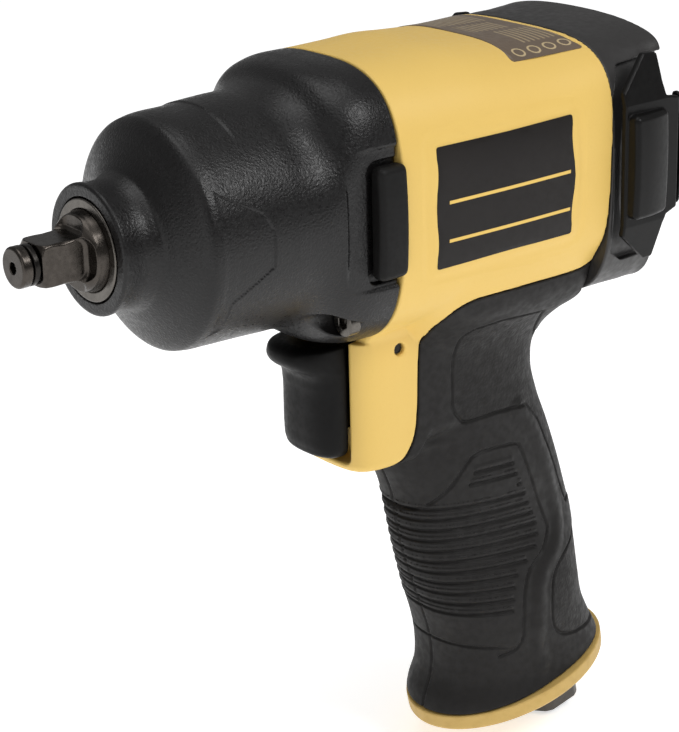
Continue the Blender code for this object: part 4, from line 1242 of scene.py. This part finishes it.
def add_camera():
    turn, lift, roll = math.radians(-38.087), math.radians(20.421), math.radians(-1.45)
    back = Vector((math.sin(turn) * math.cos(lift), -math.cos(turn) * math.cos(lift), math.sin(lift)))
    flat = Vector((math.cos(turn), math.sin(turn), 0))
    upright = back.cross(flat)
    right = math.cos(roll) * flat + math.sin(roll) * upright
    up = -math.sin(roll) * flat + math.cos(roll) * upright
    lens = bpy.data.cameras.new("camera")
    lens.lens = 111.13
    lens.sensor_width = 36.0
    lens.sensor_fit = "AUTO"
    lens.clip_start = 0.01
    camera = add_object("camera", lens)
    rows = Matrix((right, up, back)).transposed()
    camera.matrix_world = Matrix.Translation((-0.2290, -0.4043, 0.1470)) @ rows.to_4x4()
    bpy.context.scene.camera = camera


def add_lamp(name, spot, target, width, height, power):
    light = bpy.data.lights.new(name, "AREA")
    light.shape = "RECTANGLE"
    light.size, light.size_y = width, height
    light.energy = power
    look_at(add_object(name, light), spot, target)


def add_studio():
    low = CAD_BOUNDS[0]
    middle = (0.085, 0.0, -0.06)
    mesh = bpy.data.meshes.new("floor")
    reach = 4.0
    mesh.from_pydata(
        [(-reach, -reach, 0), (reach, -reach, 0), (reach, reach, 0), (-reach, reach, 0)], [], [(0, 1, 2, 3)]
    )
    floor = add_object("floor", mesh)
    floor.location = (0, 0, low[2] - 0.0005)
    paint = Paint("floor_paper", (0.93, 0.93, 0.93), roughness=0.9)
    paint.tint(paint.ramp(paint.noise(400.0), 0.4, 0.6, 0.0, 0.3), (0.92, 0.92, 0.92))
    paint.shader.inputs["Emission Color"].default_value = (1, 1, 1, 1)
    paint.shader.inputs["Emission Strength"].default_value = 0.6
    mesh.materials.append(paint.done())
    world = bpy.data.worlds.new("studio")
    world.use_nodes = True
    world.node_tree.nodes["Background"].inputs["Color"].default_value = (1, 1, 1, 1)
    world.node_tree.nodes["Background"].inputs["Strength"].default_value = 0.25
    bpy.context.scene.world = world
    add_lamp("key", (0.35, -0.75, 0.75), middle, 0.40, 0.40, 4.4)
    add_lamp("top", (0.0, 0.1, 0.9), middle, 0.7, 0.5, 1.8)
    add_lamp("left", (-0.9, -0.35, 0.15), middle, 0.4, 0.8, 0.9)
    sun = bpy.data.lights.new("sky", "SUN")
    sun.energy = 0.58
    sun.angle = math.radians(70)
    look_at(add_object("sky", sun), (-0.1, -0.3, 1.0), (0, 0, 0))
    bpy.context.scene.view_settings.view_transform = "Standard"
    bpy.context.scene.view_settings.look = "None"


def make_looks():
    return {
        "case": cast_paint("cast_paint"),
        "yellow": yellow_nylon(),
        "sleeve": sleeve_rubber(),
        "pad": moulded_black("pad_rubber", 0.006, (0.48, 0.6), 0.35, 0.015, 0.4, 0.16),
        "trigger": moulded_black("trigger_nylon", 0.0038, (0.36, 0.5), 0.4, 0.015, 0.4, 0.13),
        # the cap's base is lighter than the other blacks: partly its own dark brownish grey, partly a painted
        # sheen of the overhead light on its top
        "cap": moulded_black("cap_nylon_with_painted_sheen", 0.024, (0.38, 0.52), 0.6, 0.05, 0.5, 0.4),
        "dial": moulded_black("dial_nylon", 0.0052, (0.3, 0.42), 0.4, 0.012, 0.4, 0.15),
        "dark_steel": steel("dark_steel", (0.068, 0.06, 0.053), 0.24, 0, 0.5),
        "ring": steel("ring_steel", (0.03, 0.028, 0.026), 0.3, 0),
        "steel": steel("bright_steel", (0.36, 0.34, 0.31), 0.24, 0),
        "inlet": steel("inlet_steel", (0.09, 0.085, 0.08), 0.35, 2),
        "label": label_film(),
        "bushing": steel("bushing_steel", (0.13, 0.12, 0.108), 0.26, 0, 0.5),
        "deflector": deflector_nylon_painted_shade(),
        "rating": rating_film(),
        "brass": brass(),
        "vane": vane_composite(),
        "felt": felt(),
    }


def main():
    for obj in list(bpy.data.objects):
        if obj.name in ("Cube", "Light", "Camera"):
            bpy.data.objects.remove(obj)
    add_camera()
    add_studio()
    looks = make_looks()
    paint_hidden(looks)
    build_front(looks)
    build_body(looks)
    build_rear(looks)
    build_trigger(looks)


main()
